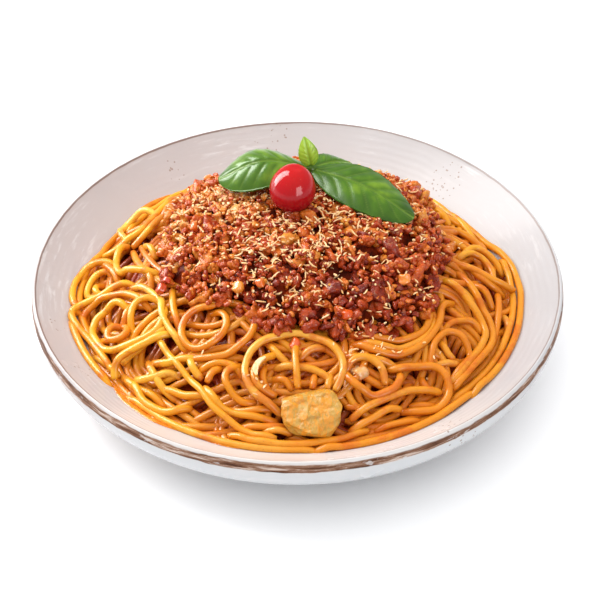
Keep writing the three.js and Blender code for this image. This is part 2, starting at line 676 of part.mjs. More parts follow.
function sprigSolid() {
  const bud = new THREE.IcosahedronGeometry(BUD_RADIUS, 0).translate(...SPRIG_JOINT);
  const leaves = LEAVES.map((shape) => leaf({ base: SPRIG_JOINT, ...shape }));
  return mainPiece(wasm.Manifold.union([solidFrom(bud), stem(STEM_RADIUS), ...leaves]));
}

// How far a point in plan lies outside the lump of cheese.
function chunkReach(x, y) {
  const [halfX, halfY] = [CHUNK_SIZE[0] / 2, CHUNK_SIZE[1] / 2 * Math.cos(radians(CHUNK_TILT))];
  return Math.max(Math.abs(x - CHUNK_CENTRE[0]) - halfX, Math.abs(y - CHUNK_CENTRE[1]) - halfY);
}

// A lump broken off a wedge: a flattish block with rounded edges and an uneven outline.
function chunkGeometry() {
  const geometry = new THREE.SphereGeometry(1, ...CHUNK_CELLS);
  const position = geometry.attributes.position;
  const square = (value) => Math.sign(value) * Math.abs(value) ** 0.6;
  for (let i = 0; i < position.count; i += 1) {
    const [x, y, z] = [position.getX(i), position.getY(i), position.getZ(i)];
    const uneven = 1 + 0.07 * Math.sin(3 * Math.atan2(y, x) + 1) + 0.05 * Math.sin(5 * x + 4 * z);
    position.setXYZ(i, square(x) * uneven, square(y) * uneven, square(z));
  }
  geometry.scale(...CHUNK_SIZE.map((size) => size / 2)).rotateX(radians(CHUNK_TILT));
  const lift = CHUNK_LIFT + CHUNK_SIZE[2] / 2 / Math.cos(radians(CHUNK_TILT));
  return geometry.translate(...CHUNK_CENTRE, pileHeight(...CHUNK_CENTRE) + lift);
}

// ---- the model ----------------------------------------------------------------------------------

function part(name, geometry, color, roughness) {
  const mesh = new THREE.Mesh(geometry, new THREE.MeshStandardMaterial({ color, roughness, metalness: 0 }));
  mesh.name = name;
  return mesh;
}

const rooms = [solidFrom(tomatoGeometry(GAP)), stem(STEM_RADIUS + GAP)];
const group = new THREE.Group();
group.add(part('bowl', plateGeometry(), 0xf1ece9, 0.3));
group.add(part('spaghetti', geometryFrom(spaghettiSolid()), 0xd9982f, 0.45));
group.add(part('meat_sauce', geometryFrom(meatSolid(...rooms)), 0x8a3213, 0.4));
group.add(part('cherry_tomato', tomatoGeometry(), 0xc3150f, 0.15));
group.add(part('basil_sprig', geometryFrom(sprigSolid()), 0x4c8a2a, 0.4));
group.add(part('cheese_chunk', chunkGeometry(), 0xf3d083, 0.55));

export default group;
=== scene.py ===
"""Looks of the plate of spaghetti with meat sauce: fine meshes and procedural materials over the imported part.

Lengths are millimetres in the functions that shape things, and metres once they are meshes.
"""

import math

import bmesh
import bpy
import numpy as np
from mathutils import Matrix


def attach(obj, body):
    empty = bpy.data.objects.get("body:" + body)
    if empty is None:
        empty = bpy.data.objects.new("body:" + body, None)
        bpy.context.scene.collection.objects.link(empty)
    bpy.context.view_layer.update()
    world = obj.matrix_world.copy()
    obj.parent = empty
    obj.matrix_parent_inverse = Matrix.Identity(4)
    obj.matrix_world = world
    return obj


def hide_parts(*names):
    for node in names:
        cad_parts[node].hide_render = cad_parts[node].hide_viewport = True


MM = 0.001
TAU = 2 * math.pi

# plate, as in the part's source
RIM_RADIUS, RIM_HEIGHT, LIP_INNER_RADIUS = 115, 39, 112.6
BAND_FOOT, WALL_DROP = 34, 30
FLOOR_HEIGHT, FLOOR_RADIUS, WELL_POWER = 8, 38, 2.27
FOOT_RADIUS, FOOT_INNER_RADIUS, FOOT_HEIGHT, FOOT_RECESS = 52, 46, 4, 3
# how far from the axis its profile starts and ends
AXIS_GAP = 1.5
# its brown band starts this far out, and a thin brown line runs round inside the lip
BAND_INNER_RADIUS, LIP_LINE_RADIUS = 114.15, 112.75
# patches of specks in the glaze: x, y and reach
SPECK_PATCHES = ((-13, 107, 13), (70, 74, 14), (-100, -29, 7), (-88, -55, 8), (62, -92, 13), (-60, 84, 8))

# heap of noodles
PILE_RADIUS, PILE_SHORTFALL, PILE_FAR_SIDE = 97, 5.5, (0.08, 0.48)
PILE_PROFILE = ((0, 55), (35, 52), (50, 48.6), (64, 42.8), (84, 30.4), (PILE_RADIUS, 25))
EDGE_RISE, EDGE_SLOPE = 1, 1.6
NOODLE_RADIUS, NOODLE_SIDES, NOODLE_STEP = 1.55, 8, 1.6
# the strands under those that show: how deep they go, in how many layers, and the least share of a strand
# that has to fill gaps; how far strands stay from the heap's edge, and where they start to turn along it
BED_DEPTH, FILL_LAYERS, LEAST_GAIN = 8.5, 4, 0.34
EDGE_MARGIN, TURN_RADIUS = 2.5, 82
# nearer to the meat's centre than these shares of its outline, no strand starts, and none goes on
HIDDEN_SHARE, BURIED_SHARE = 0.82, 0.7
# sauce that has run out along the plate: at which angle in degrees, how wide in degrees, and how far
SAUCE_RUNS = ((-131, 9, 3.8), (-122, 6, 2.6), (-106, 6, 3.4), (-89, 5, 2.2), (-62, 10, 2.4), (-30, 8, 1.2),
              (160, 9, 1))

# meat sauce
MEAT_CENTRE = (3, 4)
MEAT_RADIUS, MEAT_OVAL = 60, 2.2
# bulges (height, angle, width) in millimetres and degrees, and how much further it reaches at the far side
MEAT_BULGES = ((3.2, -50, 22), (-3.5, -92, 22), (-7, -128, 20), (8, 41, 11))
MEAT_OVERHANG, MEAT_FAR_SIDE, MEAT_NEAR_SIDE = 4.5, (0.1, 0.6), (0.2, 0.7)
MEAT_THICKNESS = ((0, 12), (0.5, 11.3), (0.75, 9), (0.9, 6.8), (1, 3.8))
MEAT_CREST, CREST_DEPTH, CREST_SHARE = 1.5, (12, 36), (0.7, 0.95)
MEAT_GAPS = ((48, -1), (32, -20), (16, -28.5), (22, -31), (0, -36), (52, -24), (-6, -40), (31, -43))
GAP_RADIUS, GAP_DEPTH, GAP_CLEARANCE = 3.1, 5.5, 3.4
# name, count, least distance, sizes, level of detail, share of the way out, and how far below the meat's top
MINCE = (("mince_lumps", 150, 7.4, (3.5, 5.8), 4, 0.97, 2.2),
         ("mince_bits", 520, 3.6, (2.0, 3.6), 3, 0.99, 0.8),
         ("mince_crumbs", 1250, 1.8, (0.8, 1.6), 2, 1.0, None))

# grated cheese: patches on the meat (x, y, reach, how thick), and shreds beside it (x, y, reach, count)
SHRED_COUNT = 1000
SHRED_PATCHES = ((0, -8, 17, 1.0), (-24, 12, 16, 0.8), (24, 2, 18, 0.7), (0, -30, 22, 0.45),
                 (-5, 24, 14, 0.3))
LOOSE_SHREDS = ((26, -57, 10, 26), (38, -55, 5, 8), (52, -36, 5, 5), (-39, -57, 8, 6), (-56, -16, 5, 4),
                (-14, -73, 6, 5), (60, -58, 9, 5), (-62, -66, 10, 6), (10, -80, 8, 3), (70, 20, 9, 3))
# the one long strip of cheese on the noodles at the front left
SLIVER = (-16, -68.1)
# dice of carrot, tomato and onion: x, y, size and tint, from red over orange to the pale one
DICE = ((-57, -24, 2.6, 0.2), (-54.5, -21.5, 1.9, 0.1), (-0.8, -56, 2.6, 0.5), (3.4, -56.2, 2.7, 0.1),
        (-24, -36, 2.8, 0.95), (-15, -35, 2.4, 0.6), (26, 86, 2.8, 0.9), (29, 84, 2.2, 0.7),
        (-40, 46, 2.2, 0.8), (44, -30, 2.5, 0.8), (20, -48, 2.4, 0.4), (-44, 2, 2.2, 0.7),
        (57, -8, 2.4, 0.85), (6, -14, 2.2, 0.6), (34, 18, 2.2, 0.8), (24.9, -65.3, 3.6, 1.12))

# toppings
TOMATO_CENTRE, TOMATO_RADIUS, TOMATO_HEIGHT = (-1.8, 7.7, 77), 9.65, 20.8
TOMATO_TAPER, TOMATO_ROUNDNESS, TOMATO_LEAN = 0.14, 0.94, 7
SPRIG_JOINT, STEM_FOOT = (6.2, 27.3, 73), (8, 25, 61)
LEAF_THICKNESS, LEAF_VEINS = 0.7, 7
BLUNT, POINTED = (1.1, 0.58), (0.8, 0.8)
# tip, which way is up, half width, outline, arch, droop, wave and its painted light; the last one is upright
LEAVES = (
    ((-34.5, 24, 69.4), (0.1, -0.2, 1), 11.3, BLUNT, 7.5, 4.5, 0.8, 0.25),
    ((50.4, 9.3, 59.3), (0.25, -0.25, 1), 12.6, BLUNT, 4, 2.2, 1, 0.2),
    ((24.5, 40, 66.5), (0, -0.3, 1), 6.5, POINTED, 2, 1.5, 0.4, 0.25),
    ((2.9, 28, 88.5), (0.1, -1, 0.3), 4.3, POINTED, 1, 0.8, 0.2, 1.25),
)
CHUNK_CENTRE, CHUNK_SIZE, CHUNK_TILT, CHUNK_LIFT, CHUNK_CHIPS = (6, -84.4), (24, 18.6, 5.6), 28, 0.9, 26
# the sides it is broken along: which way each faces, in degrees from +X, and how far out it is
CHUNK_SIDES = ((-7, 0.94), (29, 1.06), (98, 0.89), (111, 0.92), (181, 0.97), (207, 0.93), (234, 0.92),
               (263, 0.94), (305, 1.04), (333, 0.96))

# Courses of the noodles that show, in plan: chains of points (x, y) and of arcs
# (centre x, centre y, radius x, radius y, from, to), with angles in degrees from +X.
COURSES = (
    # round the rim, lowest first
    ((0, 0, 94.3, 92.6, -50, 14),),
    ((-93, 12), (-95, 4), (-95.4, -4), (-94.2, -12), (-91.5, -22), (-87.5, -32), (-82, -42)),
    ((0, 0, 94.5, 96.2, -138, -84),),
    ((0, 0, 96.3, 96.3, -86, -40),),
    ((0, 0, 97.7, 96.1, -44, -4), (97.2, 6), (95, 16.3), (90.8, 26.6), (85.6, 36.2), (80.5, 45),
     (72.8, 52.6), (66, 59)),
    ((66.5, 57.5), (58.5, 66.6), (50.6, 73), (43, 79.3), (0, 0, 90.5, 90, 66, 130)),
    ((-56, 71), (-64.7, 67), (-71, 61.4), (-76.6, 53.4), (-78.9, 45.3), (-83, 36.8), (-86, 29.6),
     (-88.9, 20.6), (-92.8, 11.5), (-96.5, 3)),
    ((-97.3, -20.4), (-94.8, -28.5), (-91.3, -36.7), (-87.2, -44.9), (-82.1, -52.5), (-75.9, -60.2)),
    ((0, 0, 87, 88, 22, 64),),
    ((0, 0, 86, 87, 62, 112),),
    ((0, 0, 87, 86, 110, 156),),
    ((0, 0, 79, 81, 28, 82),),
    ((0, 0, 79, 80, 86, 140),),
    ((64, 34), (56, 50), (40, 64), (18, 72), (-6, 73)),
    ((-12, 74), (-36, 66), (-54, 50), (-62, 34)),
    # front left
    ((-68, -58), (-65, -64), (-62, -70), (-56, -75), (-50, -77), (-42, -74.5)),
    ((-37, -70), (-32, -77.5), (-27, -80), (-20, -82), (-10.5, -83), (-7.5, -82)),
    ((-22, -62.5), (-27, -65.5), (-28.7, -69), (-27.5, -72.6), (-24, -75.6), (-20, -77), (-16, -75.6)),
    ((-66, -58), (-63, -61.5), (-59, -62), (-55, -61), (-51, -60.5), (-47, -62)),
    ((-57.5, -44), (-53.5, -52), (-45.5, -63), (-39, -71), (-33.5, -79), (-28, -83.5), (-22, -87.3),
     (-15, -90), (-8, -90.6)),
    ((-27, -88), (-18.5, -92), (-10.5, -93.4), (0, -94), (11, -92.6), (17, -91), (23, -88), (28.5, -85)),
    # left
    ((-93.5, -21.5), (-90.5, -16), (-85, -13.5), (-77.5, -14.5), (-71.5, -18), (-66.5, -22.5), (-61, -28)),
    ((-92, -16), (-96, -17), (-96.3, -21.5), (-93, -27.5), (-88, -33.5), (-84, -40), (-79.5, -47),
     (-76, -52.5)),
    ((-78, 7), (-81, 10), (-87, 12.5), (-93.5, 10.5), (-97.4, 3.5), (-98.3, -4), (-97, -10.5), (-93, -15.5)),
    ((-96.5, -22), (-96.8, -18), (-94, -15), (-89, -13), (-84, -11.5), (-79, -10), (-74, -9), (-69, -10.5)),
    ((-89, 21), (-83, 20), (-76.5, 25), (-71, 28.5), (-65.5, 36), (-61.5, 43), (-58, 52), (-54.5, 56)),
    ((-64, 39.5), (-69, 43), (-75, 43.5), (-79.5, 39.5), (-80.5, 33), (-79, 28), (-75.5, 24)),
    ((-75, 20.3), (-78.3, 18.5), (-80, 12.5), (-79.5, 6), (-77.3, 0.5), (-73.5, -4), (-69, -6.3),
     (-64, -8.5), (-58.5, -9)),
    ((-71, -12.8), (-66.5, -16), (-61.5, -21), (-58, -25.5), (-56, -31)),
    ((-71, -24.5), (-77, -20), (-82.5, -21.5), (-86, -24.5), (-86.8, -29.5), (-85, -35), (-81, -41),
     (-75.5, -45), (-70, -46.5), (-64.5, -46), (-60, -44), (-56.8, -41), (-55, -36), (-55.3, -30)),
    ((-57, -27), (-60, -25.7), (-64, -25), (-67.5, -26.5), (-69.3, -30.5), (-69.2, -35), (-67.5, -39)),
    ((-75, -37, 4.3, 4.3, 60, 430),),
    ((-51, -43), (-55, -45.3), (-60.5, -47), (-66, -49), (-71, -50.8), (-74.5, -53.5), (-74.7, -57.5)),
    ((-57.3, -24.5), (-56.5, -30), (-55.8, -36), (-53, -42), (-49, -48), (-45, -52)),
    ((-38, -45.5, 9.3, 9.3, 80, -280), (-33.3, -47, 16, 12.3, 80, -130)),
    # front
    ((-8.5, -59.5), (-11, -62), (-14.5, -64.5), (-17, -68), (-16.6, -71.8), (-13.8, -74.3), (-8, -75.5)),
    ((-0.5, -54), (-0.7, -62), (-0.2, -69), (0.4, -74.5)),
    ((-1.2, -67, 19.6, 14.6, -35, 258),),
    # right
    ((54.8, -32), (54.7, -37), (52.6, -43), (48.5, -47), (43, -50), (36.5, -51.6), (29, -51.4),
     (22, -50.6)),
    ((66, -23.5), (62, -26.6), (59.8, -31), (59.2, -36.5), (57, -42), (53.3, -47.8), (49, -52),
     (43, -56.2), (38, -58.2), (31, -58.2), (27, -56.8), (21.5, -54)),
    ((40.8, -62.8), (41.3, -66.5), (39.5, -70.8), (35.5, -74), (29.5, -75.7), (24, -74.8), (20.5, -71.5),
     (18.5, -67)),
    ((62, -61.5), (66, -56.7), (69.5, -52), (71.2, -48), (69.5, -44.3), (66.6, -41.5), (62.3, -41.3),
     (59, -44.3), (56, -49), (54.6, -54), (53.8, -57)),
    ((36, -63), (40.3, -63.4), (45.5, -61.5), (49.7, -59.5), (54, -58.8), (58, -60), (60.5, -63.3),
     (61.2, -67.5), (59, -71.8), (54.5, -75), (50, -76.3), (46, -76), (41, -75)),
    ((20.7, -83), (26, -80.7), (31, -78), (38.5, -74), (46, -70), (52.3, -68), (58.5, -66.5)),
    ((20.5, -87), (25.5, -84.8), (31, -81.8), (37.3, -78.2), (41.5, -76.5)),
    ((70, 9.5), (76.3, 13.6), (82, 13.2), (85.6, 8.5), (86.2, 3), (85, -1)),
    ((68.5, 2), (73.5, -0.5), (78.8, -2.4), (85, -4.9), (91, -5), (95, -2.4)),
    ((86.8, -7.8), (86.5, -16), (85.5, -23.5), (84, -30.5), (81.8, -37.3)),
    ((61.5, -12), (69, -18.6), (73, -23.5), (76, -27.5), (78.2, -31.5), (78.7, -36.5), (76.3, -42.3),
     (72.7, -48.2), (66, -58.5), (62, -62)),
    ((68.7, -2.8), (72, -8.5), (75, -13.3), (79.4, -22.8), (81.6, -27.6), (82.3, -33), (80.8, -40),
     (76.8, -46.5), (68, -59), (63, -64.5)),
)

# Shorter stretches that show between and under those.
LOW_COURSES = (
    # front left
    ((-40, -62.3), (-35, -61.3), (-30, -61.3), (-25, -63.5), (-21, -67.5)),
    ((-36, -69), (-34, -65), (-30.3, -62.5)),
    ((-28.5, -76.5), (-23.7, -78.8), (-16.2, -79.6), (-9, -78.4)),
    ((-25, -83.5), (-18.5, -85.5), (-10.5, -85.8), (-3.8, -85)),
    ((-13.5, -87), (-7.5, -88), (-1.7, -88)),
    ((-60, -51), (-58, -55), (-53, -57.5), (-48, -57), (-42.7, -57.5), (-37, -58)),
    ((-61, -51.5), (-60.2, -55.5), (-57.7, -61), (-54, -66), (-48, -70)),
    ((-55, -65), (-46, -70.5), (-40, -72), (-30.5, -72.7)),
    ((-72, -54), (-67, -61), (-60, -66), (-53, -72)),
    ((-44, -55), (-42, -62), (-38, -66)),
    # left
    ((-80.5, 4), (-84, 7.5), (-89, 6), (-91.8, 0.5), (-91.6, -5.5), (-88.5, -9.5), (-83, -9), (-79.5, -5),
     (-79, -1)),
    ((-84.5, 1.5), (-87.8, -1.5), (-87.5, -6), (-84, -7)),
    ((-74, 20), (-69, 24), (-63.5, 31.5), (-60, 39)),
    ((-89, 14), (-86.5, 12.5), (-81, 4.5), (-78, -2)),
    ((-64.6, 1), (-65, -5), (-62.8, -11), (-61.8, -17)),
    ((-67.5, 15), (-64.5, 10.5), (-61.5, 4)),
    ((-66.5, -22.5), (-70.5, -25.5), (-72.3, -30), (-72.3, -34.5)),
    ((-84, -31), (-82, -35.5), (-77.5, -39.5), (-73, -40.5), (-69, -39.5)),
    ((-52.5, -38), (-54, -41), (-57.3, -43.5), (-62.5, -46), (-68.5, -47.8), (-72.7, -50)),
    ((-52.5, -20), (-52, -27), (-51.2, -33.5), (-49.7, -38.5), (-47.5, -44)),
    ((-86, -40), (-80, -47), (-73, -55)),
    # front
    ((-11.8, -61.8), (-13.4, -66), (-13.3, -70.8), (-10.9, -74)),
    ((0.5, -61.5), (4, -58.8), (8.6, -57), (12.5, -55.5)),
    ((-9.3, -63.8), (-1.3, -64.8), (6, -66), (11, -68.3), (15, -71.5)),
    ((-10.7, -67.6), (-4.8, -69.2), (-1.8, -73)),
    ((7, -67.5), (6, -74)),
    ((13.5, -66.5), (12, -74)),
    ((-12, -54), (-8, -60), (-3, -63)),
    # right
    ((24, -52.8), (31.5, -55), (39, -54.8), (46.8, -51), (51.5, -47.5), (55.3, -42), (57.3, -34.5)),
    ((17, -60), (21.3, -60.7), (27, -61), (34, -61.4), (40.8, -61.4)),
    ((19, -67), (22, -63), (27, -61.5), (31, -63), (34, -66), (35.3, -71)),
    ((50, -60.5), (51, -64), (53.5, -68)),
    ((30.5, -85), (37, -83.3), (43.5, -81), (50, -78)),
    ((45, -72.6), (51.4, -72.6), (56.5, -70.3)),
    ((19, -77.5), (22, -78.5), (27, -77.8)),
    ((19, -81.3), (24, -82)),
    ((58, -44), (61.7, -50.5), (64.3, -52)),
    ((54, -56.3), (59.7, -54.8), (66, -53)),
    ((60, -40), (63.3, -36), (68, -32.5), (72, -31), (75, -31.8), (77.5, -34.5)),
    ((94, -4.5), (93, -11.5), (90.2, -16), (87, -18.7), (80, -21)),
    ((72.8, 15), (79.3, 20), (83.6, 19), (88.6, 15.2), (92, 10)),
    ((70.2, 4), (74.8, 0), (79.4, -3.9), (84.5, -6.3), (90, -6)),
    ((74, -8), (80, -12), (84, -18)),
    ((88, -18), (90, -26), (88, -33)),
)


# ---- forms shared with the part's source ----


def profile_height(profile, distance):
    return np.interp(distance, [pair[0] for pair in profile], [pair[1] for pair in profile])


def well_height(radius):
    rise = np.clip((radius - FLOOR_RADIUS) / (LIP_INNER_RADIUS - FLOOR_RADIUS), 0, None)
    return FLOOR_HEIGHT + (RIM_HEIGHT - 0.5 - FLOOR_HEIGHT) * rise**WELL_POWER


def smoothstep(x, low, high):
    t = np.clip((x - low) / (high - low), 0, 1)
    return t * t * (3 - 2 * t)


def bell(distance, width):
    return np.exp(-((distance / width) ** 2))


def pile_reach(x, y):
    """How far out the heap lies in the direction of a point: less at the far side."""
    return PILE_RADIUS - PILE_SHORTFALL * smoothstep(y / np.maximum(np.hypot(x, y), 1), *PILE_FAR_SIDE)


def pile_height(x, y):
    radius = np.hypot(x, y)
    inward = np.maximum(pile_reach(x, y) - radius, 0)
    edge = well_height(np.minimum(radius, LIP_INNER_RADIUS)) + EDGE_RISE
    swell = np.sin(x / 14 + 1) * np.sin(y / 16) + np.sin(x / 10 - y / 12)
    top = profile_height(PILE_PROFILE, radius) + 0.5 * swell * np.clip(inward / 12, 0, 1)
    return np.minimum(np.maximum(top, edge), edge + EDGE_SLOPE * inward)


def meat_radius(angle):
    bulges = sum(high * bell(angle - math.radians(at), math.radians(wide)) for high, at, wide in MEAT_BULGES)
    lobes = 0.9 * np.sin(7 * angle + 1) + 0.7 * np.sin(11 * angle + 2)
    lobes += MEAT_OVERHANG * smoothstep(np.sin(angle), *MEAT_FAR_SIDE)
    return MEAT_RADIUS + MEAT_OVAL * np.cos(2 * angle) + bulges + lobes


def near_side(angle):
    """1 at the side of the diner, 0 at the sides and back."""
    return smoothstep(-np.sin(angle), *MEAT_NEAR_SIDE)


def meat_share(x, y):
    """Distance from the meat's centre, as a share of the way to its outline."""
    dx, dy = x - MEAT_CENTRE[0], y - MEAT_CENTRE[1]
    return np.hypot(dx, dy) / meat_radius(np.arctan2(dy, dx))


def meat_height(x, y):
    """Top of the meat: its thickness falls off towards the outline, less so at the far side."""
    share = meat_share(x, y)
    crest = MEAT_CREST * smoothstep(y - MEAT_CENTRE[1], *CREST_DEPTH) * smoothstep(share, *CREST_SHARE)
    return pile_height(x, y) + profile_height(MEAT_THICKNESS, share) + crest


# ---- meshes ----


def add_piece(name, points, faces, material, slot, replaces=(), **values):
    """A piece of the model from points in millimetres. values are numbers per point for its material."""
    mesh = bpy.data.meshes.new(name)
    mesh.from_pydata((np.asarray(points, float) * MM).tolist(), [], faces)
    mesh.shade_smooth()
    for key, numbers in values.items():
        made = mesh.attributes.new(key, "FLOAT", "POINT")
        made.data.foreach_set("value", np.asarray(numbers, np.float32))
    mesh.materials.append(material)
    piece = bpy.data.objects.new(name, mesh)
    bpy.context.scene.collection.objects.link(piece)
    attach(piece, "root")
    for node in replaces:
        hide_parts(node)
    return piece


def ring_faces(rings, sides, start=0):
    """Quads between rings of points, and a cap at each end."""
    ring, side = np.meshgrid(np.arange(rings - 1), np.arange(sides), indexing="ij")
    here = start + ring * sides + side
    turned = start + ring * sides + (side + 1) % sides
    quads = np.stack([here, turned, turned + sides, here + sides], -1).reshape(-1, 4).tolist()
    first = list(range(start, start + sides))
    last = [i + (rings - 1) * sides for i in first]
    return quads + [first[::-1], last]


def tubes(bodies):
    """One mesh of closed tubes, each given as an array of rings of points."""
    faces, start = [], 0
    for rings, sides, _ in (body.shape for body in bodies):
        faces += ring_faces(rings, sides, start)
        start += rings * sides
    return np.vstack([body.reshape(-1, 3) for body in bodies]), faces


def tube(line, section, scale):
    """Rings of points round a line: a section (sideways, upwards), scaled at each point of the line."""
    along = unit(np.gradient(line, axis=0))
    side = unit(np.cross(along, [0, 0, 1]))
    up = np.cross(side, along)
    return line[:, None] + scale[:, None, None] * (side[:, None] * section[None, :, :1]
                                                   + up[:, None] * section[None, :, 1:])


def lathe(profile, sides):
    """Points and faces of a turned body. Its profile starts and ends close to the axis."""
    profile = np.asarray(profile, float)
    angle = np.arange(sides) * TAU / sides
    x = profile[:, None, 0] * np.cos(angle)
    y = profile[:, None, 0] * np.sin(angle)
    z = np.broadcast_to(profile[:, None, 1], x.shape)
    return np.stack([x, y, z], -1).reshape(-1, 3), ring_faces(len(profile), sides)


def icosphere(level):
    """Points on a unit ball, and its triangles."""
    ball = bmesh.new()
    bmesh.ops.create_icosphere(ball, subdivisions=level, radius=1)
    points = np.array([v.co for v in ball.verts])
    faces = np.array([[v.index for v in f.verts] for f in ball.faces])
    ball.free()
    return points, faces


def copies(triangles, points, count):
    """Faces of several copies of a ball in one mesh."""
    return (triangles[None] + (np.arange(count) * points)[:, None, None]).reshape(-1, 3).tolist()


def turns(rng, count):
    """Random rotations, one matrix each."""
    q = rng.normal(size=(count, 4))
    w, x, y, z = (q / np.linalg.norm(q, axis=1, keepdims=True)).T
    rows = [
        [1 - 2 * (y * y + z * z), 2 * (x * y - z * w), 2 * (x * z + y * w)],
        [2 * (x * y + z * w), 1 - 2 * (x * x + z * z), 2 * (y * z - x * w)],
        [2 * (x * z - y * w), 2 * (y * z + x * w), 1 - 2 * (x * x + y * y)],
    ]
    return np.array(rows).transpose(2, 0, 1)


def unit(vectors):
    return vectors / np.maximum(np.linalg.norm(vectors, axis=-1, keepdims=True), 1e-9)


# ---- materials ----


class Signal:
    """A number, colour or vector that a node gives out. Arithmetic on it adds Math nodes."""

    def __init__(self, paint, socket):
        self.paint, self.socket = paint, socket

    def math(self, operation, *others):
        return self.paint.add("Math", dict(enumerate((self, *others))), operation=operation)

    def __add__(self, other):
        return self.math("ADD", other)

    def __sub__(self, other):
        return self.math("SUBTRACT", other)

    def __mul__(self, other):
        return self.math("MULTIPLY", other)

    def __truediv__(self, other):
        return self.math("DIVIDE", other)

    def __lt__(self, other):
        return self.math("LESS_THAN", other)

    def __gt__(self, other):
        return self.math("GREATER_THAN", other)

    def span(self, low, high, to_low=0.0, to_high=1.0):
        """From low..high to to_low..to_high, held at the ends, with a soft start and finish."""
        inputs = {"Value": self, "From Min": low, "From Max": high, "To Min": to_low, "To Max": to_high}
        return self.paint.add("MapRange", inputs, interpolation_type="SMOOTHSTEP")

    def ramp(self, *stops):
        """Colours (position, (r, g, b)) along the number."""
        colour = self.paint.add("ValToRGB", {"Fac": self}, "Color")
        elements = colour.socket.node.color_ramp.elements
        while len(elements) < len(stops):
            elements.new(0.5)
        for element, (position, rgb) in zip(elements, stops):
            element.position = position
            element.color = (*rgb, 1)
        return colour


class Paint:
    """A procedural material. Its methods add nodes and return what they give out."""

    def __init__(self, name, **sockets):
        self.material = bpy.data.materials.new(name)
        self.material.use_nodes = True
        self.nodes = self.material.node_tree.nodes
        self.links = self.material.node_tree.links
        self.shader = self.nodes["Principled BSDF"]
        self.place = self.add("TexCoord", {}, "Object")
        for key, value in sockets.items():
            self.shader.inputs[key.replace("_", " ")].default_value = value

    def add(self, kind, inputs, output=0, **settings):
        node = self.nodes.new("ShaderNode" + kind)
        for key, value in settings.items():
            setattr(node, key, value)
        for key, value in inputs.items():
            if isinstance(value, Signal):
                self.links.new(value.socket, node.inputs[key])
            else:
                node.inputs[key].default_value = value
        return Signal(self, node.outputs[output])

    def value(self, name):
        return self.add("Attribute", {}, "Fac", attribute_name=name)

    def axis(self, name, vector=None):
        return self.add("SeparateXYZ", {0: vector or self.place}, name)

    def facing_up(self, low, high):
        return self.axis("Z", self.add("NewGeometry", {}, "Normal")).span(low, high)

    def stretched(self, x, y, z):
        return self.add("Mapping", {"Vector": self.place, "Scale": (x, y, z)})

    def noise(self, size, detail=3, roughness=0.5, distortion=0.0, place=None):
        """Noise from 0 to 1 whose features are about size metres across."""
        inputs = {"Vector": place or self.place, "Scale": 1 / size, "Detail": detail,
                  "Roughness": roughness, "Distortion": distortion}
        return self.add("TexNoise", inputs, "Fac")

    def uneven(self, size, low, high, detail=3):
        """Patches about size metres across, from low to high."""
        return self.noise(size, detail).span(0.3, 0.7, low, high)

    def cells(self, size):
        return self.add("TexVoronoi", {"Vector": self.place, "Scale": 1 / size}, "Distance")

    def mix(self, share, a, b):
        a, b = (colour if isinstance(colour, Signal) else (*colour, 1) for colour in (a, b))
        return self.add("Mix", {0: share, 6: a, 7: b}, 2, data_type="RGBA")

    def bump(self, height, distance, strength):
        return self.add("Bump", {"Height": height, "Distance": distance, "Strength": strength})

    def use(self, **sockets):
        for key, value in sockets.items():
            self.links.new(value.socket, self.shader.inputs[key.replace("_", " ")])
        return self.material


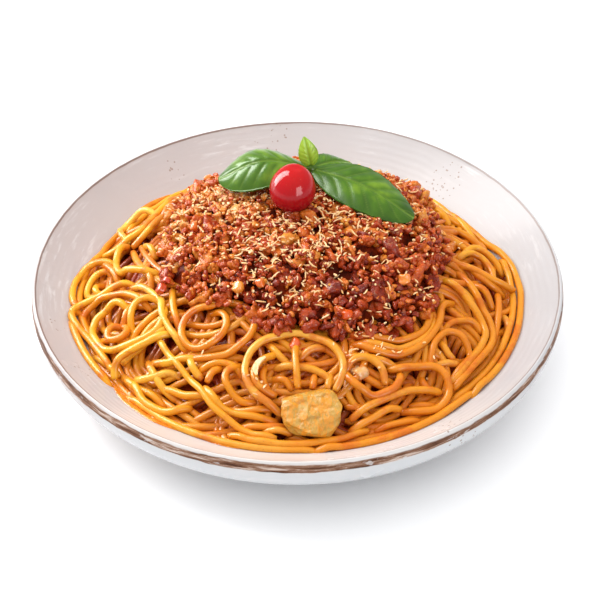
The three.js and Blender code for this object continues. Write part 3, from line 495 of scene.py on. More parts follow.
def glaze_paint():
    """White glaze with faint turning rings, brown specks, and a streaky brown rim that is worn in places,
    under painted light: darker and pinker at the left, lighter at the front and bluish where it faces down.
    """
    p = Paint("glaze", Specular_IOR_Level=0.08, Coat_Weight=0.02, Coat_Roughness=0.1)
    x, y, z = (p.axis(a) for a in "XYZ")
    radius = (x * x + y * y).math("SQRT")
    tone = p.noise(0.05, 4)
    # painted light: darker and pinker on the left, standing in for warm light thrown back from the noodles,
    # lighter and cooler on the right
    warm = tone.ramp((0.3, (0.49, 0.445, 0.44)), (0.7, (0.52, 0.48, 0.475)))
    cool = tone.ramp((0.3, (0.515, 0.50, 0.505)), (0.7, (0.545, 0.535, 0.545)))
    # painted light: the front is lighter, warm white where it faces up and bluish where it faces down, which
    # also cancels the warm light the noodles throw onto it
    front = p.mix(p.facing_up(-0.1, 0.3), (0.61, 0.63, 0.65), (0.67, 0.635, 0.61))
    glaze_with_painted_light = p.mix(y.span(-0.06, -0.1, 0.0, 0.8), p.mix(x.span(-0.09, 0.05), warm, cool), front)
    # brush strokes that follow the wheel
    around = p.add("CombineXYZ", {0: x * 0.03 / radius, 1: y * 0.03 / radius, 2: radius * 2.5})
    strokes = p.noise(0.004, 5, 0.6, 0.4, around).span(0.5, 0.68, 0.0, 0.75)
    white = p.mix(strokes * p.noise(0.04, 2).span(0.42, 0.6), glaze_with_painted_light, (0.64, 0.63, 0.635))
    # specks, in a few patches
    patch = None
    for patch_x, patch_y, reach in SPECK_PATCHES:
        dx, dy = x - patch_x * MM, y - patch_y * MM
        near = (dx * dx + dy * dy).math("SQRT").span(reach * MM, reach * 0.4 * MM)
        patch = patch.math("MAXIMUM", near) if patch else near
    speck = p.cells(0.0021) < p.noise(0.0035, 1) * 0.42
    kept = patch * p.noise(0.004, 2) > 0.34
    specked = p.mix(speck * kept * 0.75, white, (0.30, 0.22, 0.18))
    # the rim
    brown = p.noise(0.016, 7, 0.68, 0.3, p.stretched(1, 1, 11)).ramp(
        (0.36, (0.07, 0.028, 0.015)), (0.46, (0.16, 0.07, 0.038)), (0.54, (0.27, 0.145, 0.092)),
        (0.64, (0.60, 0.48, 0.41)))
    worn = p.noise(0.006, 5, 0.6, 0.2, p.stretched(1, 1, 3)).span(0.61, 0.69, 1.0, 0.3)
    edge = (p.noise(0.009, 3) - 0.5) * 0.0018
    above = (z + edge).span((BAND_FOOT + 0.3) * MM, (BAND_FOOT + 0.8) * MM)
    outside = (radius + edge * 0.35).span(BAND_INNER_RADIUS * MM, (BAND_INNER_RADIUS + 0.25) * MM)
    band = above * outside * worn
    # a thin brown line inside the lip
    off_line = (radius + edge * 0.3 - LIP_LINE_RADIUS * MM).math("ABSOLUTE")
    strength = (x + p.noise(0.04, 3) * 0.06).span(0.1, -0.02, 0.55, 0.8)
    line = off_line.span(0.42 * MM, 0.2 * MM) * strength * (z > (RIM_HEIGHT - 2.5) * MM)
    colour = p.mix(band, p.mix(line, specked, (0.20, 0.12, 0.09)), brown)
    rings = ((radius + p.noise(0.03, 2) * 0.004) * 2400).math("SINE")
    grooves = rings * p.noise(0.05, 2).span(0.4, 0.65)
    return p.use(Base_Color=colour, Normal=p.bump(grooves * 0.16 + p.noise(0.012, 3), 0.00035, 0.5),
                 Roughness=band * 0.3 + p.uneven(0.02, 0.18, 0.28))


def noodle_paint():
    """Egg-yellow pasta with patches of sauce, redder and darker towards the front right. Deeper in the heap it
    turns
    redder and then dark red: partly sauce, partly painted shade between the strands.
    """
    p = Paint("noodle", Subsurface_Weight=0.12, Subsurface_Scale=0.0015, Subsurface_Radius=(1.0, 0.45, 0.12),
              Specular_IOR_Level=0.2, Coat_Weight=0.22, Coat_Roughness=0.26)
    depth = p.value("depth")
    pasta = (p.value("tint") * 0.5 + p.noise(0.011, 3) * 0.5).ramp(
        (0.2, (0.70, 0.20, 0.006)), (0.42, (0.78, 0.30, 0.008)), (0.6, (0.83, 0.41, 0.020)),
        (0.82, (0.90, 0.56, 0.09)))
    # redder and darker towards the front right
    front_right = p.axis("X") * 0.45 - p.axis("Y") * 0.6
    redder_front_right = p.mix(front_right.span(-0.015, 0.065, 0.0, 0.68), pasta, (0.67, 0.195, 0.009))
    stained = p.mix(p.noise(0.012, 4, 0.55, 0.3).span(0.5, 0.62) * 0.6, redder_front_right, (0.58, 0.10, 0.005))
    # deeper strands redder, partly sauce and partly painted shade; the deepest dark red, painted shade in the
    # gaps
    sauce_and_depth_shade = p.mix(depth.span(0.2, 0.75, 0.0, 0.75), stained, (0.60, 0.165, 0.008))
    deepest_painted_shade = p.mix(depth.span(0.62, 1.0, 0.0, 0.9), sauce_and_depth_shade, (0.28, 0.02, 0.003))
    specks = p.cells(0.0028) < p.noise(0.006, 1) * 0.2
    colour = p.mix(specks * 0.5, deepest_painted_shade, (0.45, 0.12, 0.03))
    grain = p.noise(0.0011, 3) + p.noise(0.004, 2) * 0.6
    return p.use(Base_Color=colour, Roughness=p.uneven(0.005, 0.26, 0.5), Normal=p.bump(grain, 0.00022, 0.6))


def sauce_paint(name, dark, light, roughness, wet):
    """Oily tomato sauce."""
    p = Paint(name, Specular_IOR_Level=0.25 * wet, Coat_Weight=0.3 * wet, Coat_Roughness=0.08)
    colour = p.noise(0.006, 5, 0.6).ramp((0.35, dark), (0.68, light))
    relief = p.noise(0.0026, 4, 0.6) + p.cells(0.0045) * 0.5
    return p.use(Base_Color=colour, Roughness=p.uneven(0.003, roughness, roughness + 0.2),
                 Normal=p.bump(relief, 0.0009, 0.8))


def meat_paint():
    """Browned mince in red sauce: each crumb has its own tint, with melted cheese on top towards the back."""
    p = Paint("meat", Specular_IOR_Level=0.2, Coat_Weight=0.22, Coat_Roughness=0.14, Subsurface_Weight=0.1,
              Subsurface_Scale=0.001, Subsurface_Radius=(1.0, 0.35, 0.15))
    tone = p.value("tint") * 0.62 + p.noise(0.0022, 5, 0.65, 0.6) * 0.45
    meat = tone.ramp((0.16, (0.12, 0.004, 0.002)), (0.32, (0.34, 0.028, 0.003)), (0.46, (0.56, 0.08, 0.007)),
                     (0.6, (0.72, 0.185, 0.016)), (0.72, (0.80, 0.32, 0.04)), (0.86, (0.88, 0.48, 0.20)))
    sauced = p.mix(p.noise(0.009, 3).span(0.5, 0.68) * 0.35, meat, (0.52, 0.05, 0.006))
    dust = p.noise(0.0016, 3, 0.6).span(0.54, 0.62) * p.axis("Y").span(-0.035, 0.03, 0.25, 1.0)
    colour = p.mix(dust * p.facing_up(0.3, 0.9) * 0.5, sauced, (0.92, 0.56, 0.24))
    relief = p.noise(0.0018, 5, 0.65) + p.cells(0.0022) * 0.7
    return p.use(Base_Color=colour, Roughness=p.uneven(0.002, 0.2, 0.5), Normal=p.bump(relief, 0.0012, 0.8))


def cheese_paint(name, pale, gold, blotch=0.0):
    """Hard cheese: grainy and matte, with golden blotches and specks on the lump."""
    p = Paint(name, Subsurface_Weight=0.25, Subsurface_Scale=0.0015, Subsurface_Radius=(1.0, 0.7, 0.35))
    base = p.noise(0.004, 5, 0.6).ramp((0.36, gold), (0.62, pale))
    streaks = p.noise(0.004, 4, 0.6, 0.8, p.stretched(1.8, 0.7, 1))
    patched = p.mix(streaks.span(0.43, 0.58) * blotch, base, (0.68, 0.265, 0.006))
    specks = p.cells(0.0019) < p.noise(0.004, 1) * (0.3 * blotch)
    colour = p.mix(specks * 0.55, patched, (0.55, 0.30, 0.08))
    grain = p.noise(0.0008, 4, 0.7) + p.cells(0.0014)
    return p.use(Base_Color=colour, Roughness=p.uneven(0.002, 0.4, 0.65), Normal=p.bump(grain, 0.0003, 0.7))


def tomato_paint():
    """Tight red skin with fine pale flecks, under painted shade: darker towards the bottom, lighter towards the
    top.
    """
    p = Paint("tomato_skin", Specular_IOR_Level=0.0, Coat_Weight=0.52, Coat_IOR=1.5, Coat_Roughness=0.12)
    # painted shade: the skin darker towards the bottom, lighter towards the top
    tone = p.axis("Z").span(0.068, 0.088) * 0.7 + p.noise(0.01, 2) * 0.3
    skin = tone.ramp((0.15, (0.27, 0.003, 0.008)), (0.55, (0.40, 0.004, 0.009)), (0.9, (0.50, 0.008, 0.008)))
    colour = p.mix((p.cells(0.0013) < 0.09) * 0.22, skin, (0.9, 0.35, 0.12))
    return p.use(Base_Color=colour, Roughness=p.uneven(0.004, 0.24, 0.32, 2),
                 Normal=p.bump(p.noise(0.006, 2), 0.0002, 0.2))


def leaf_paint():
    """Basil: bright green between paler veins, under painted light: each leaf lit by its own amount, and
    lighter where the blade swells.
    """
    p = Paint("basil", Specular_IOR_Level=0.05, Coat_Weight=0.55, Coat_Roughness=0.3, Subsurface_Weight=0.1,
              Subsurface_Scale=0.001, Subsurface_Radius=(0.4, 1.0, 0.15))
    # the shade value brings the painted light into the blade's colour
    tone = p.noise(0.009, 4) * 0.8 + p.value("shade").math("MULTIPLY_ADD", 0.5, -0.15)
    blade = tone.ramp((0.2, (0.020, 0.068, 0.003)), (0.5, (0.062, 0.155, 0.005)), (0.78, (0.22, 0.36, 0.016)),
                      (1, (0.42, 0.66, 0.06)))
    colour = p.mix(p.value("vein") * 0.4, blade, (0.26, 0.40, 0.045))
    return p.use(Base_Color=colour, Roughness=p.uneven(0.003, 0.3, 0.45),
                 Normal=p.bump(p.noise(0.0009, 3), 0.00015, 0.6))


def dice_paint():
    """Carrot, tomato and onion dice, soft and glossy."""
    p = Paint("dice", Coat_Weight=0.4, Coat_Roughness=0.15, Subsurface_Weight=0.15, Subsurface_Scale=0.002,
              Subsurface_Radius=(1.0, 0.3, 0.1))
    colour = (p.value("tint") * 0.6 + p.noise(0.003, 4) * 0.4).ramp(
        (0.25, (0.50, 0.03, 0.006)), (0.5, (0.72, 0.10, 0.008)), (0.78, (0.84, 0.30, 0.03)),
        (0.98, (0.74, 0.62, 0.36)))
    return p.use(Base_Color=colour, Roughness=p.uneven(0.002, 0.2, 0.4),
                 Normal=p.bump(p.noise(0.0015, 4), 0.0004, 0.7))


# ---- plate ----


def add_bowl():
    """The plate, turned: the well, over the lip, down the round wall, and the foot ring with its recess."""
    inner = np.concatenate([[AXIS_GAP, 15, 30], np.linspace(FLOOR_RADIUS, LIP_INNER_RADIUS, 60)])
    profile = [(radius, well_height(radius)) for radius in inner]
    profile += [(112.8, 38.8), (113.05, 38.95), (113.3, 39), (113.6, 38.9), (113.95, 38.55), (114.3, 37.9)]
    profile += [(114.58, 37), (114.8, 35.9), (114.95, 34.9), (RIM_RADIUS, BAND_FOOT)]
    for angle in np.radians(np.arange(3, 90, 3)):
        reach = (RIM_RADIUS - FOOT_RADIUS) * math.cos(angle)
        profile.append((FOOT_RADIUS + reach, BAND_FOOT - WALL_DROP * math.sin(angle)))
    profile += [(FOOT_RADIUS, FOOT_HEIGHT), (51.7, 2), (51.3, 0.5), (50.8, 0.1), (50.2, 0)]
    profile += [(46.8, 0), (FOOT_INNER_RADIUS, 0.3), (45.4, 1.5), (45, FOOT_RECESS), (AXIS_GAP, FOOT_RECESS)]
    points, faces = lathe(profile, 288)
    # thrown by hand: the rim is not quite level or round
    angle = np.arctan2(points[:, 1], points[:, 0])
    high = np.clip((points[:, 2] - 20) / 19, 0, 1)
    points[:, 2] += 0.22 * high * (np.sin(2 * angle + 0.7) + 0.6 * np.sin(5 * angle + 2))
    points[:, :2] *= (1 + 0.0012 * high * np.sin(3 * angle + 1))[:, None]
    add_piece("bowl_glazed", points, faces, glaze_paint(), "glaze", ["bowl"])


# ---- noodles ----


class Relief:
    """Heights of what lies in the plate, on a square grid, so that each thing lies on those before it."""

    def __init__(self, height, reach=100, cell=0.6):
        self.reach, self.cell = reach, cell
        self.count = int(2 * reach / cell) + 1
        axis = np.arange(self.count) * cell - reach
        self.x, self.y = np.meshgrid(axis, axis)
        self.heights = height(self.x, self.y)
        self.pads = {}

    def pad(self, radius):
        """Cells under a ball, as steps from its middle cell, and the ball's rise above each."""
        if radius not in self.pads:
            span = int(radius / self.cell)
            step = np.arange(-span, span + 1)
            dx, dy = (a.ravel() for a in np.meshgrid(step, step))
            lift = radius * radius - (dx * dx + dy * dy) * self.cell**2
            keep = lift > 0
            self.pads[radius] = (dx[keep], dy[keep], np.sqrt(lift[keep]))
        return self.pads[radius]

    def index(self, value, step=0):
        """The nearest row or column, or one some steps from it."""
        return np.clip(np.rint((value + self.reach) / self.cell).astype(int) + step, 0, self.count - 1)

    def cells(self, x, y, radius):
        dx, dy, lift = self.pad(radius)
        return self.index(y[:, None], dy), self.index(x[:, None], dx), lift

    def rest(self, x, y, radius):
        row, column, lift = self.cells(x, y, radius)
        return (self.heights[row, column] + lift).max(1)

    def press(self, x, y, z, radius):
        row, column, lift = self.cells(x, y, radius)
        np.maximum.at(self.heights, (row, column), z[:, None] + lift)

    def at(self, x, y, heights=None):
        return (self.heights if heights is None else heights)[self.index(y), self.index(x)]


def spaced(points, step=1.0):
    """A smooth curve through points, resampled evenly."""
    points = np.asarray(points, float)
    ends = np.vstack([2 * points[0] - points[1], points, 2 * points[-1] - points[-2]])
    curve = []
    for a, b, c, d in zip(ends, ends[1:], ends[2:], ends[3:]):
        t = np.linspace(0, 1, 12, endpoint=False)[:, None]
        curve.append(0.5 * (2 * b + (c - a) * t + (2 * a - 5 * b + 4 * c - d) * t**2
                            + (3 * b - a - 3 * c + d) * t**3))
    curve = np.vstack([*curve, points[-1:]])
    run = np.concatenate([[0], np.cumsum(np.linalg.norm(np.diff(curve, axis=0), axis=1))])
    even = np.linspace(0, run[-1], max(3, int(run[-1] / step) + 1))
    return np.stack([np.interp(even, run, curve[:, i]) for i in range(curve.shape[1])], -1)


def course_points(course):
    points = []
    for step in course:
        if len(step) == 2:
            points.append(step)
            continue
        cx, cy, rx, ry, start, end = step
        for angle in np.radians(np.linspace(start, end, int(abs(end - start) / 20) + 2)):
            points.append((cx + rx * math.cos(angle), cy + ry * math.sin(angle)))
    return spaced(points)


def lay(plan, relief, sink, ceiling, dive, level=None):
    """Lays a noodle on what is there: it follows what is under it, bridges dips and drapes off edges.
    Under a ceiling it presses into what it crosses instead of rising, and half as much above a level.
    Its ends dive into the heap."""
    x, y = plan.T
    height = np.empty(len(plan))
    stretch = 5  # points laid at a time
    for start in range(0, len(plan), stretch):
        now = slice(start, start + stretch)
        height[now] = relief.rest(x[now], y[now], NOODLE_RADIUS) - sink
        if level is not None:
            height[now] -= 0.5 * np.clip(height[now] - level[now], 0, None)
        height[now] = np.minimum(height[now], ceiling[now])
        if start >= stretch:
            before = slice(start - stretch, start)
            relief.press(x[before], y[before], height[before], NOODLE_RADIUS)
    held = height.copy()
    for k in range(1, 10):
        drop = 0.3 * max(0, k - 2)
        held[k:] = np.maximum(held[k:], height[:-k] - drop)
        held[:-k] = np.maximum(held[:-k], height[k:] - drop)
    window = np.hanning(9)
    soft = np.convolve(np.pad(held, 4, mode="edge"), window / window.sum(), "valid")
    relief.press(x, y, soft, NOODLE_RADIUS)
    run = np.arange(len(plan))
    return np.column_stack([plan, soft - dive * (bell(run, 4) + bell(run[-1] - run, 4))])


def wander(rng, x, y):
    """The plan of a loose strand from a start point: long bends, a few tight ones, kept in the plate."""
    heading = math.atan2(y, x) + rng.choice([-1, 1]) * rng.uniform(0.9, 2.0)
    length = rng.uniform(60, 190)
    bend = rng.choice([-1, 1]) / rng.uniform(16, 70)
    wave, phase, swing = rng.uniform(0.05, 0.13), rng.uniform(0, TAU), rng.uniform(0.01, 0.06)
    step = 3.0
    points = [(x, y)]
    for i in range(int(length / step)):
        heading += step * (bend + swing * math.sin(wave * i * step + phase))
        radius = math.hypot(x, y)
        out = (x * math.cos(heading) + y * math.sin(heading)) / max(radius, 1)
        if radius > TURN_RADIUS and out > 0:
            turn = 1 if x * math.sin(heading) - y * math.cos(heading) > 0 else -1
            heading += turn * step * out * 0.12 * (radius - TURN_RADIUS) / 6
        x += step * math.cos(heading)
        y += step * math.sin(heading)
        limit = pile_reach(x, y) - EDGE_MARGIN
        if math.hypot(x, y) > limit:
            shrink = limit / math.hypot(x, y)
            x, y = x * shrink, y * shrink
        if meat_share(x, y) < BURIED_SHARE:
            break
        points.append((x, y))
    return spaced(points) if len(points) > 7 else None


def shifted(plan, distance, rng):
    """A strand that runs beside another one, not quite parallel and with its own ends."""
    along = unit(np.gradient(plan, axis=0))
    across = np.stack([-along[:, 1], along[:, 0]], -1) * (1 if (plan * along[:, ::-1]).sum() > 0 else -1)
    wave = np.sin(np.arange(len(plan)) * rng.uniform(0.03, 0.08) + rng.uniform(0, TAU))
    drift = distance * (1 + 0.15 * wave)
    moved = plan + across * drift[:, None]
    moved *= np.minimum(1, (pile_reach(*moved.T) - EDGE_MARGIN) / np.hypot(*moved.T))[:, None]
    cut = int(min(distance, 1) * rng.uniform(0, 0.2) * len(plan))
    return moved[cut:] if rng.uniform() < 0.5 else moved[: len(moved) - cut]


def fill_strands(rng, relief, bed):
    """Layers of strands that fill the heap up to its height, each strand laid where its layer has room."""
    strands = []
    inward = pile_reach(relief.x, relief.y) - np.hypot(relief.x, relief.y)
    ground = (meat_share(relief.x, relief.y) > HIDDEN_SHARE) & (inward > 3)
    for layer in range(FILL_LAYERS):
        rise = BED_DEPTH * (layer + 1) / FILL_LAYERS - 0.3
        cap = np.minimum(bed + rise, pile_height(relief.x, relief.y) - 1.8)
        missed = 0
        while missed < 9:
            room = np.where(ground, cap - relief.heights, 0)
            weight = np.clip(room - 0.9, 0, None).ravel()
            if weight.sum() < 1:
                break
            best, score = None, LEAST_GAIN
            for start in rng.choice(weight.size, size=6, p=weight / weight.sum()):
                plan = wander(rng, relief.x.flat[start], relief.y.flat[start])
                if plan is None:
                    continue
                free = relief.at(*plan.T, cap) - relief.at(*plan.T)
                value = (free > 0.9).mean() - 0.6 * (free < 0.1).mean() + 0.001 * len(plan)
                if value > score:
                    best, score = plan, value
            missed = missed + 1 if best is None else 0
            if best is None:
                continue
            for beside in range(rng.integers(1, 4)):
                plan = shifted(best, beside * rng.uniform(3.3, 3.9), rng)
                strands.append(lay(plan, relief, sink=0.6, ceiling=relief.at(*plan.T, cap) - 0.5, dive=3.5))
    return strands


def strand_mesh(strands, rng):
    """All strands as tubes: points, faces, a tint for each strand, and how deep each point lies."""
    bodies, values = [], []
    ring = np.arange(NOODLE_SIDES) * TAU / NOODLE_SIDES
    section = np.stack([np.cos(ring), np.sin(ring)], -1)
    for line in strands:
        line = spaced(line, NOODLE_STEP)
        swell = np.arange(len(line)) * 0.35
        thick = NOODLE_RADIUS * rng.uniform(0.93, 1.07) * (1 + 0.03 * np.sin(swell + rng.uniform(0, 6)))
        thick[[0, -1]] *= 0.72
        bodies.append(tube(line, section, thick))
        depth = np.clip((pile_height(line[:, 0], line[:, 1]) + 2.5 - line[:, 2]) / 9, 0, 1)
        values.append(np.stack([np.full(len(line), rng.uniform(0, 1)), depth]))
    tint, depth = np.repeat(np.hstack(values), NOODLE_SIDES, axis=1)
    return *tubes(bodies), tint, depth


def disc(outline, rings, sides, top, bottom):
    """A lumpy disc: outline is its centre and a function that gives its radius at an angle."""
    angle = np.arange(sides) * TAU / sides
    share = np.linspace(0.02, 1, rings)
    (cx, cy), radius = outline
    x = cx + share[:, None] * radius(angle) * np.cos(angle)
    y = cy + share[:, None] * radius(angle) * np.sin(angle)
    over = np.stack([x, y, top(x, y)], -1).reshape(-1, 3)
    under = np.stack([x, y, bottom(x, y)], -1)[::-1].reshape(-1, 3)
    return np.vstack([over, under]), ring_faces(2 * rings, sides)


def chunk_underside(x, y):
    """Height of the underside of the lump of cheese, and no limit beside it."""
    tilt = math.radians(CHUNK_TILT)
    dx, dy = x - CHUNK_CENTRE[0], y - CHUNK_CENTRE[1]
    over = (np.abs(dx) < CHUNK_SIZE[0] / 2 - 1) & (np.abs(dy) < CHUNK_SIZE[1] / 2 * math.cos(tilt) - 1)
    return np.where(over, pile_height(*CHUNK_CENTRE) + dy * math.tan(tilt), np.inf)


def add_noodles():
    rng = np.random.default_rng(11)

    def bed(x, y):
        radius = np.hypot(x, y)
        floor = well_height(np.minimum(radius, LIP_INNER_RADIUS))
        low = np.where(radius < PILE_RADIUS, pile_height(x, y) - BED_DEPTH, 0)
        return np.maximum(low, floor + 0.1)

    relief = Relief(bed)
    filled = fill_strands(rng, relief, relief.heights.copy())
    low = pile_height(relief.x, relief.y) - 4
    inside = np.hypot(relief.x, relief.y) < pile_reach(relief.x, relief.y) - 7
    relief.heights = np.where(inside, np.maximum(relief.heights, low), relief.heights)
    shown = []
    for course in LOW_COURSES + COURSES:
        plan = course_points(course)
        plan = plan[meat_share(*plan.T) > 0.9]
        shown.append(lay(plan, relief, sink=0.5, ceiling=chunk_underside(*plan.T), dive=2.6,
                         level=pile_height(*plan.T) + 0.5))
    paint = noodle_paint()
    for name, strands in (("noodles_under", filled), ("noodles_over", shown)):
        points, faces, tint, depth = strand_mesh(strands, rng)
        add_piece(name, points, faces, paint, "noodle", ["spaghetti"], tint=tint, depth=depth)

    def bed_top(x, y):
        return np.minimum(bed(x, y), pile_height(x, y) - 1) + 0.25 * np.sin(x / 2.1) * np.sin(y / 2.7)

    points, faces = disc(((0, 0), lambda a: pile_reach(np.cos(a), np.sin(a)) - 3), 60, 160, bed_top,
                         lambda x, y: well_height(np.hypot(x, y)) + 0.1)
    # sauce under the noodles, coloured far darker than the sauce on the plate: partly sauce, partly painted
    # shade in the gaps between strands
    sauce = sauce_paint("deep_sauce_painted_shade", (0.20, 0.014, 0.002), (0.46, 0.06, 0.006), 0.5, 0.2)
    add_piece("sauce_bed", points, faces, sauce, "noodle", ["spaghetti"])
    return relief


def add_sauce_film():
    """Thin orange sauce that has run out from under the noodles along the plate."""
    sides, rings, inner = 360, 9, 86
    angle = np.arange(sides) * TAU / sides
    waves = 0.6 * np.sin(5 * angle) + 0.5 * np.sin(13 * angle + 1) + 0.35 * np.sin(29 * angle + 2)
    reach = pile_reach(np.cos(angle), np.sin(angle)) - 2 + waves
    for middle, width, out in SAUCE_RUNS:
        turn = (angle - math.radians(middle) + math.pi) % TAU - math.pi
        reach += out * bell(turn, math.radians(width))
    share = np.linspace(0, 1, rings)
    radius = inner + (reach[None] - inner) * share[:, None]
    x, y = radius * np.cos(angle), radius * np.sin(angle)
    over = np.stack([x, y, well_height(radius) + 0.12 + 0.5 * np.sqrt(1 - share[:, None] ** 3)], -1)
    under = np.stack([x, y, well_height(radius) + 0.08], -1)[::-1]
    points = np.concatenate([over, under]).reshape(-1, 3)
    faces = [f for f in ring_faces(2 * rings, sides) if len(f) == 4]
    last = (2 * rings - 1) * sides
    faces += [[last + k, last + (k + 1) % sides, (k + 1) % sides, k] for k in range(sides)]
    film = sauce_paint("sauce_film", (0.72, 0.17, 0.008), (0.86, 0.33, 0.03), 0.12, 1)
    add_piece("sauce_film", points, faces, film, "noodle")


# ---- meat sauce ----


def clumps(x, y):
    """Slow ups and downs of the meat's top, with the dark gaps between clumps."""
    rise = 1.1 * np.sin(x / 5.1 + 0.6 * np.sin(y / 6)) * np.sin(y / 4.6 + 1)
    rise = rise + 0.7 * np.sin(x / 3.2 - y / 3.9 + 2)
    for gx, gy in MEAT_GAPS:
        rise = rise - GAP_DEPTH * np.exp(-((x - gx) ** 2 + (y - gy) ** 2) / GAP_RADIUS**2)
    return rise


def meat_spot(rng, share, nearer=0.0):
    """A random point on the meat, up to a share of the way to its outline, plus nearer at the near side."""
    angle = rng.uniform(-math.pi, math.pi)
    radius = math.sqrt(rng.uniform()) * (share + nearer * near_side(angle)) * meat_radius(angle)
    return np.array([MEAT_CENTRE[0] + radius * math.cos(angle), MEAT_CENTRE[1] + radius * math.sin(angle)])


def scatter(rng, count, spacing, share):
    """Points over the meat, at least spacing apart, with none in its gaps."""
    kept = np.empty((0, 2))
    for _ in range(60 * count):
        if len(kept) == count:
            break
        spot = meat_spot(rng, share, 0.04)
        if min(math.dist(spot, gap) for gap in MEAT_GAPS) < GAP_CLEARANCE:
            continue
        if len(kept) and np.hypot(*(kept - spot).T).min() < spacing:
            continue
        kept = np.vstack([kept, spot])
    return kept


def lumps(rng, centres, sizes, level):
    """Broken grains of mince, all different: each is cut by its own planes, rounded off and roughened."""
    ball, triangles = icosphere(level)
    count = len(centres)
    reach = np.zeros((count, len(ball)))
    for _ in range(9):
        way = unit(rng.normal(size=(count, 3)))
        flat = rng.uniform(0.36, 1.0, (count, 1))
        reach += (np.clip(np.einsum("nk,pk->np", way, ball), 0, None) / flat) ** 7
    swell = np.clip(reach, 0.25, None) ** (-1 / 7)
    for fine in (4, 7, 12, 20):
        for _ in range(3):
            way = unit(rng.normal(size=(count, 3))) * fine * rng.uniform(0.8, 1.2)
            swell += 0.36 / fine * np.sin(np.einsum("nk,pk->np", way, ball) + rng.uniform(0, TAU, (count, 1)))
    scale = sizes[:, None] * rng.uniform(0.55, 1.3, (count, 3))
    body = ball[None] * swell[:, :, None] * scale[:, None]
    body = np.einsum("nij,npj->npi", turns(rng, count), body) + centres[:, None]
    return body.reshape(-1, 3), copies(triangles, len(ball), count), len(ball)


def clear_of_tomato(centres, sizes):
    """True for balls that don't reach into the tomato."""
    offset = (centres - np.array(TOMATO_CENTRE)) / np.array([1, 1, TOMATO_HEIGHT / TOMATO_RADIUS / 2])
    return np.linalg.norm(offset, axis=1) > TOMATO_RADIUS + 0.55 * sizes


def clear_of_leaves(centres, sizes):
    """Lowers balls that would reach through the leaves."""
    for tip, _, half_width, _, arch, *_ in LEAVES[:-1]:
        start, tip = np.array(SPRIG_JOINT), np.array(tip)
        axis = (tip - start)[:2]
        along = (centres[:, :2] - start[:2]) @ axis / (axis @ axis)
        across = np.abs(np.cross(centres[:, :2] - start[:2], unit(axis)))
        under = (along > 0) & (along < 1) & (across < half_width)
        leaf_z = start[2] + along * (tip[2] - start[2]) + 2 * along * (1 - along) * arch - 1.5
        top = np.where(under, leaf_z - sizes, np.inf)
        centres[:, 2] = np.minimum(centres[:, 2], top)
    return centres


def add_meat(relief):
    rng = np.random.default_rng(5)

    def core_top(x, y):
        share = np.clip((meat_share(x, y) - 0.8) / 0.2, 0, 1)
        return meat_height(x, y) - 3.4 + 0.8 * clumps(x, y) - 2.2 * share

    outline = (MEAT_CENTRE, lambda a: meat_radius((a + math.pi) % TAU - math.pi) - 1.5 - 3.5 * near_side(a))
    points, faces = disc(outline, 60, 200, core_top, lambda x, y: pile_height(x, y) - 2)
    # gravy under the crumbs, coloured near black: partly gravy, partly painted shade in the crevices between
    # crumbs
    deep = sauce_paint("meat_gravy_painted_shade", (0.03, 0.003, 0.001), (0.24, 0.022, 0.003), 0.5, 0.15)
    add_piece("meat_bed", points, faces, deep, "meat", ["meat_sauce"])
    held = meat_share(relief.x, relief.y) < 0.97
    relief.heights = np.where(held, core_top(relief.x, relief.y), relief.heights)

    paint = meat_paint()
    for name, count, spacing, (small, large), level, share, below in MINCE:
        spots = scatter(rng, count, spacing, share)
        sizes = rng.uniform(small, large, len(spots))
        x, y = spots.T
        base = relief.rest(x, y, 0.9) if below is None else meat_height(x, y) + clumps(x, y) - below + 1
        z = base - sizes * rng.uniform(0.35, 0.95, len(spots))
        centres = clear_of_leaves(np.column_stack([x, y, z]), sizes)
        keep = clear_of_tomato(centres, sizes)
        centres, sizes = centres[keep], sizes[keep]
        points, faces, per = lumps(rng, centres, sizes, level)
        warm = np.clip(0.55 - centres[:, 0] / 200 + centres[:, 1] / 90, 0, 1)
        tint = np.repeat(np.clip(rng.beta(1.6, 1.9, len(centres)) * 0.8 + 0.32 * warm - 0.1, 0, 1), per)
        add_piece(name, points, faces, paint, "meat", ["meat_sauce"], tint=tint)
        for (cx, cy, cz), size in zip(centres, sizes):
            relief.press(np.array([cx]), np.array([cy]), np.array([cz]), round(float(size) * 0.95, 1))


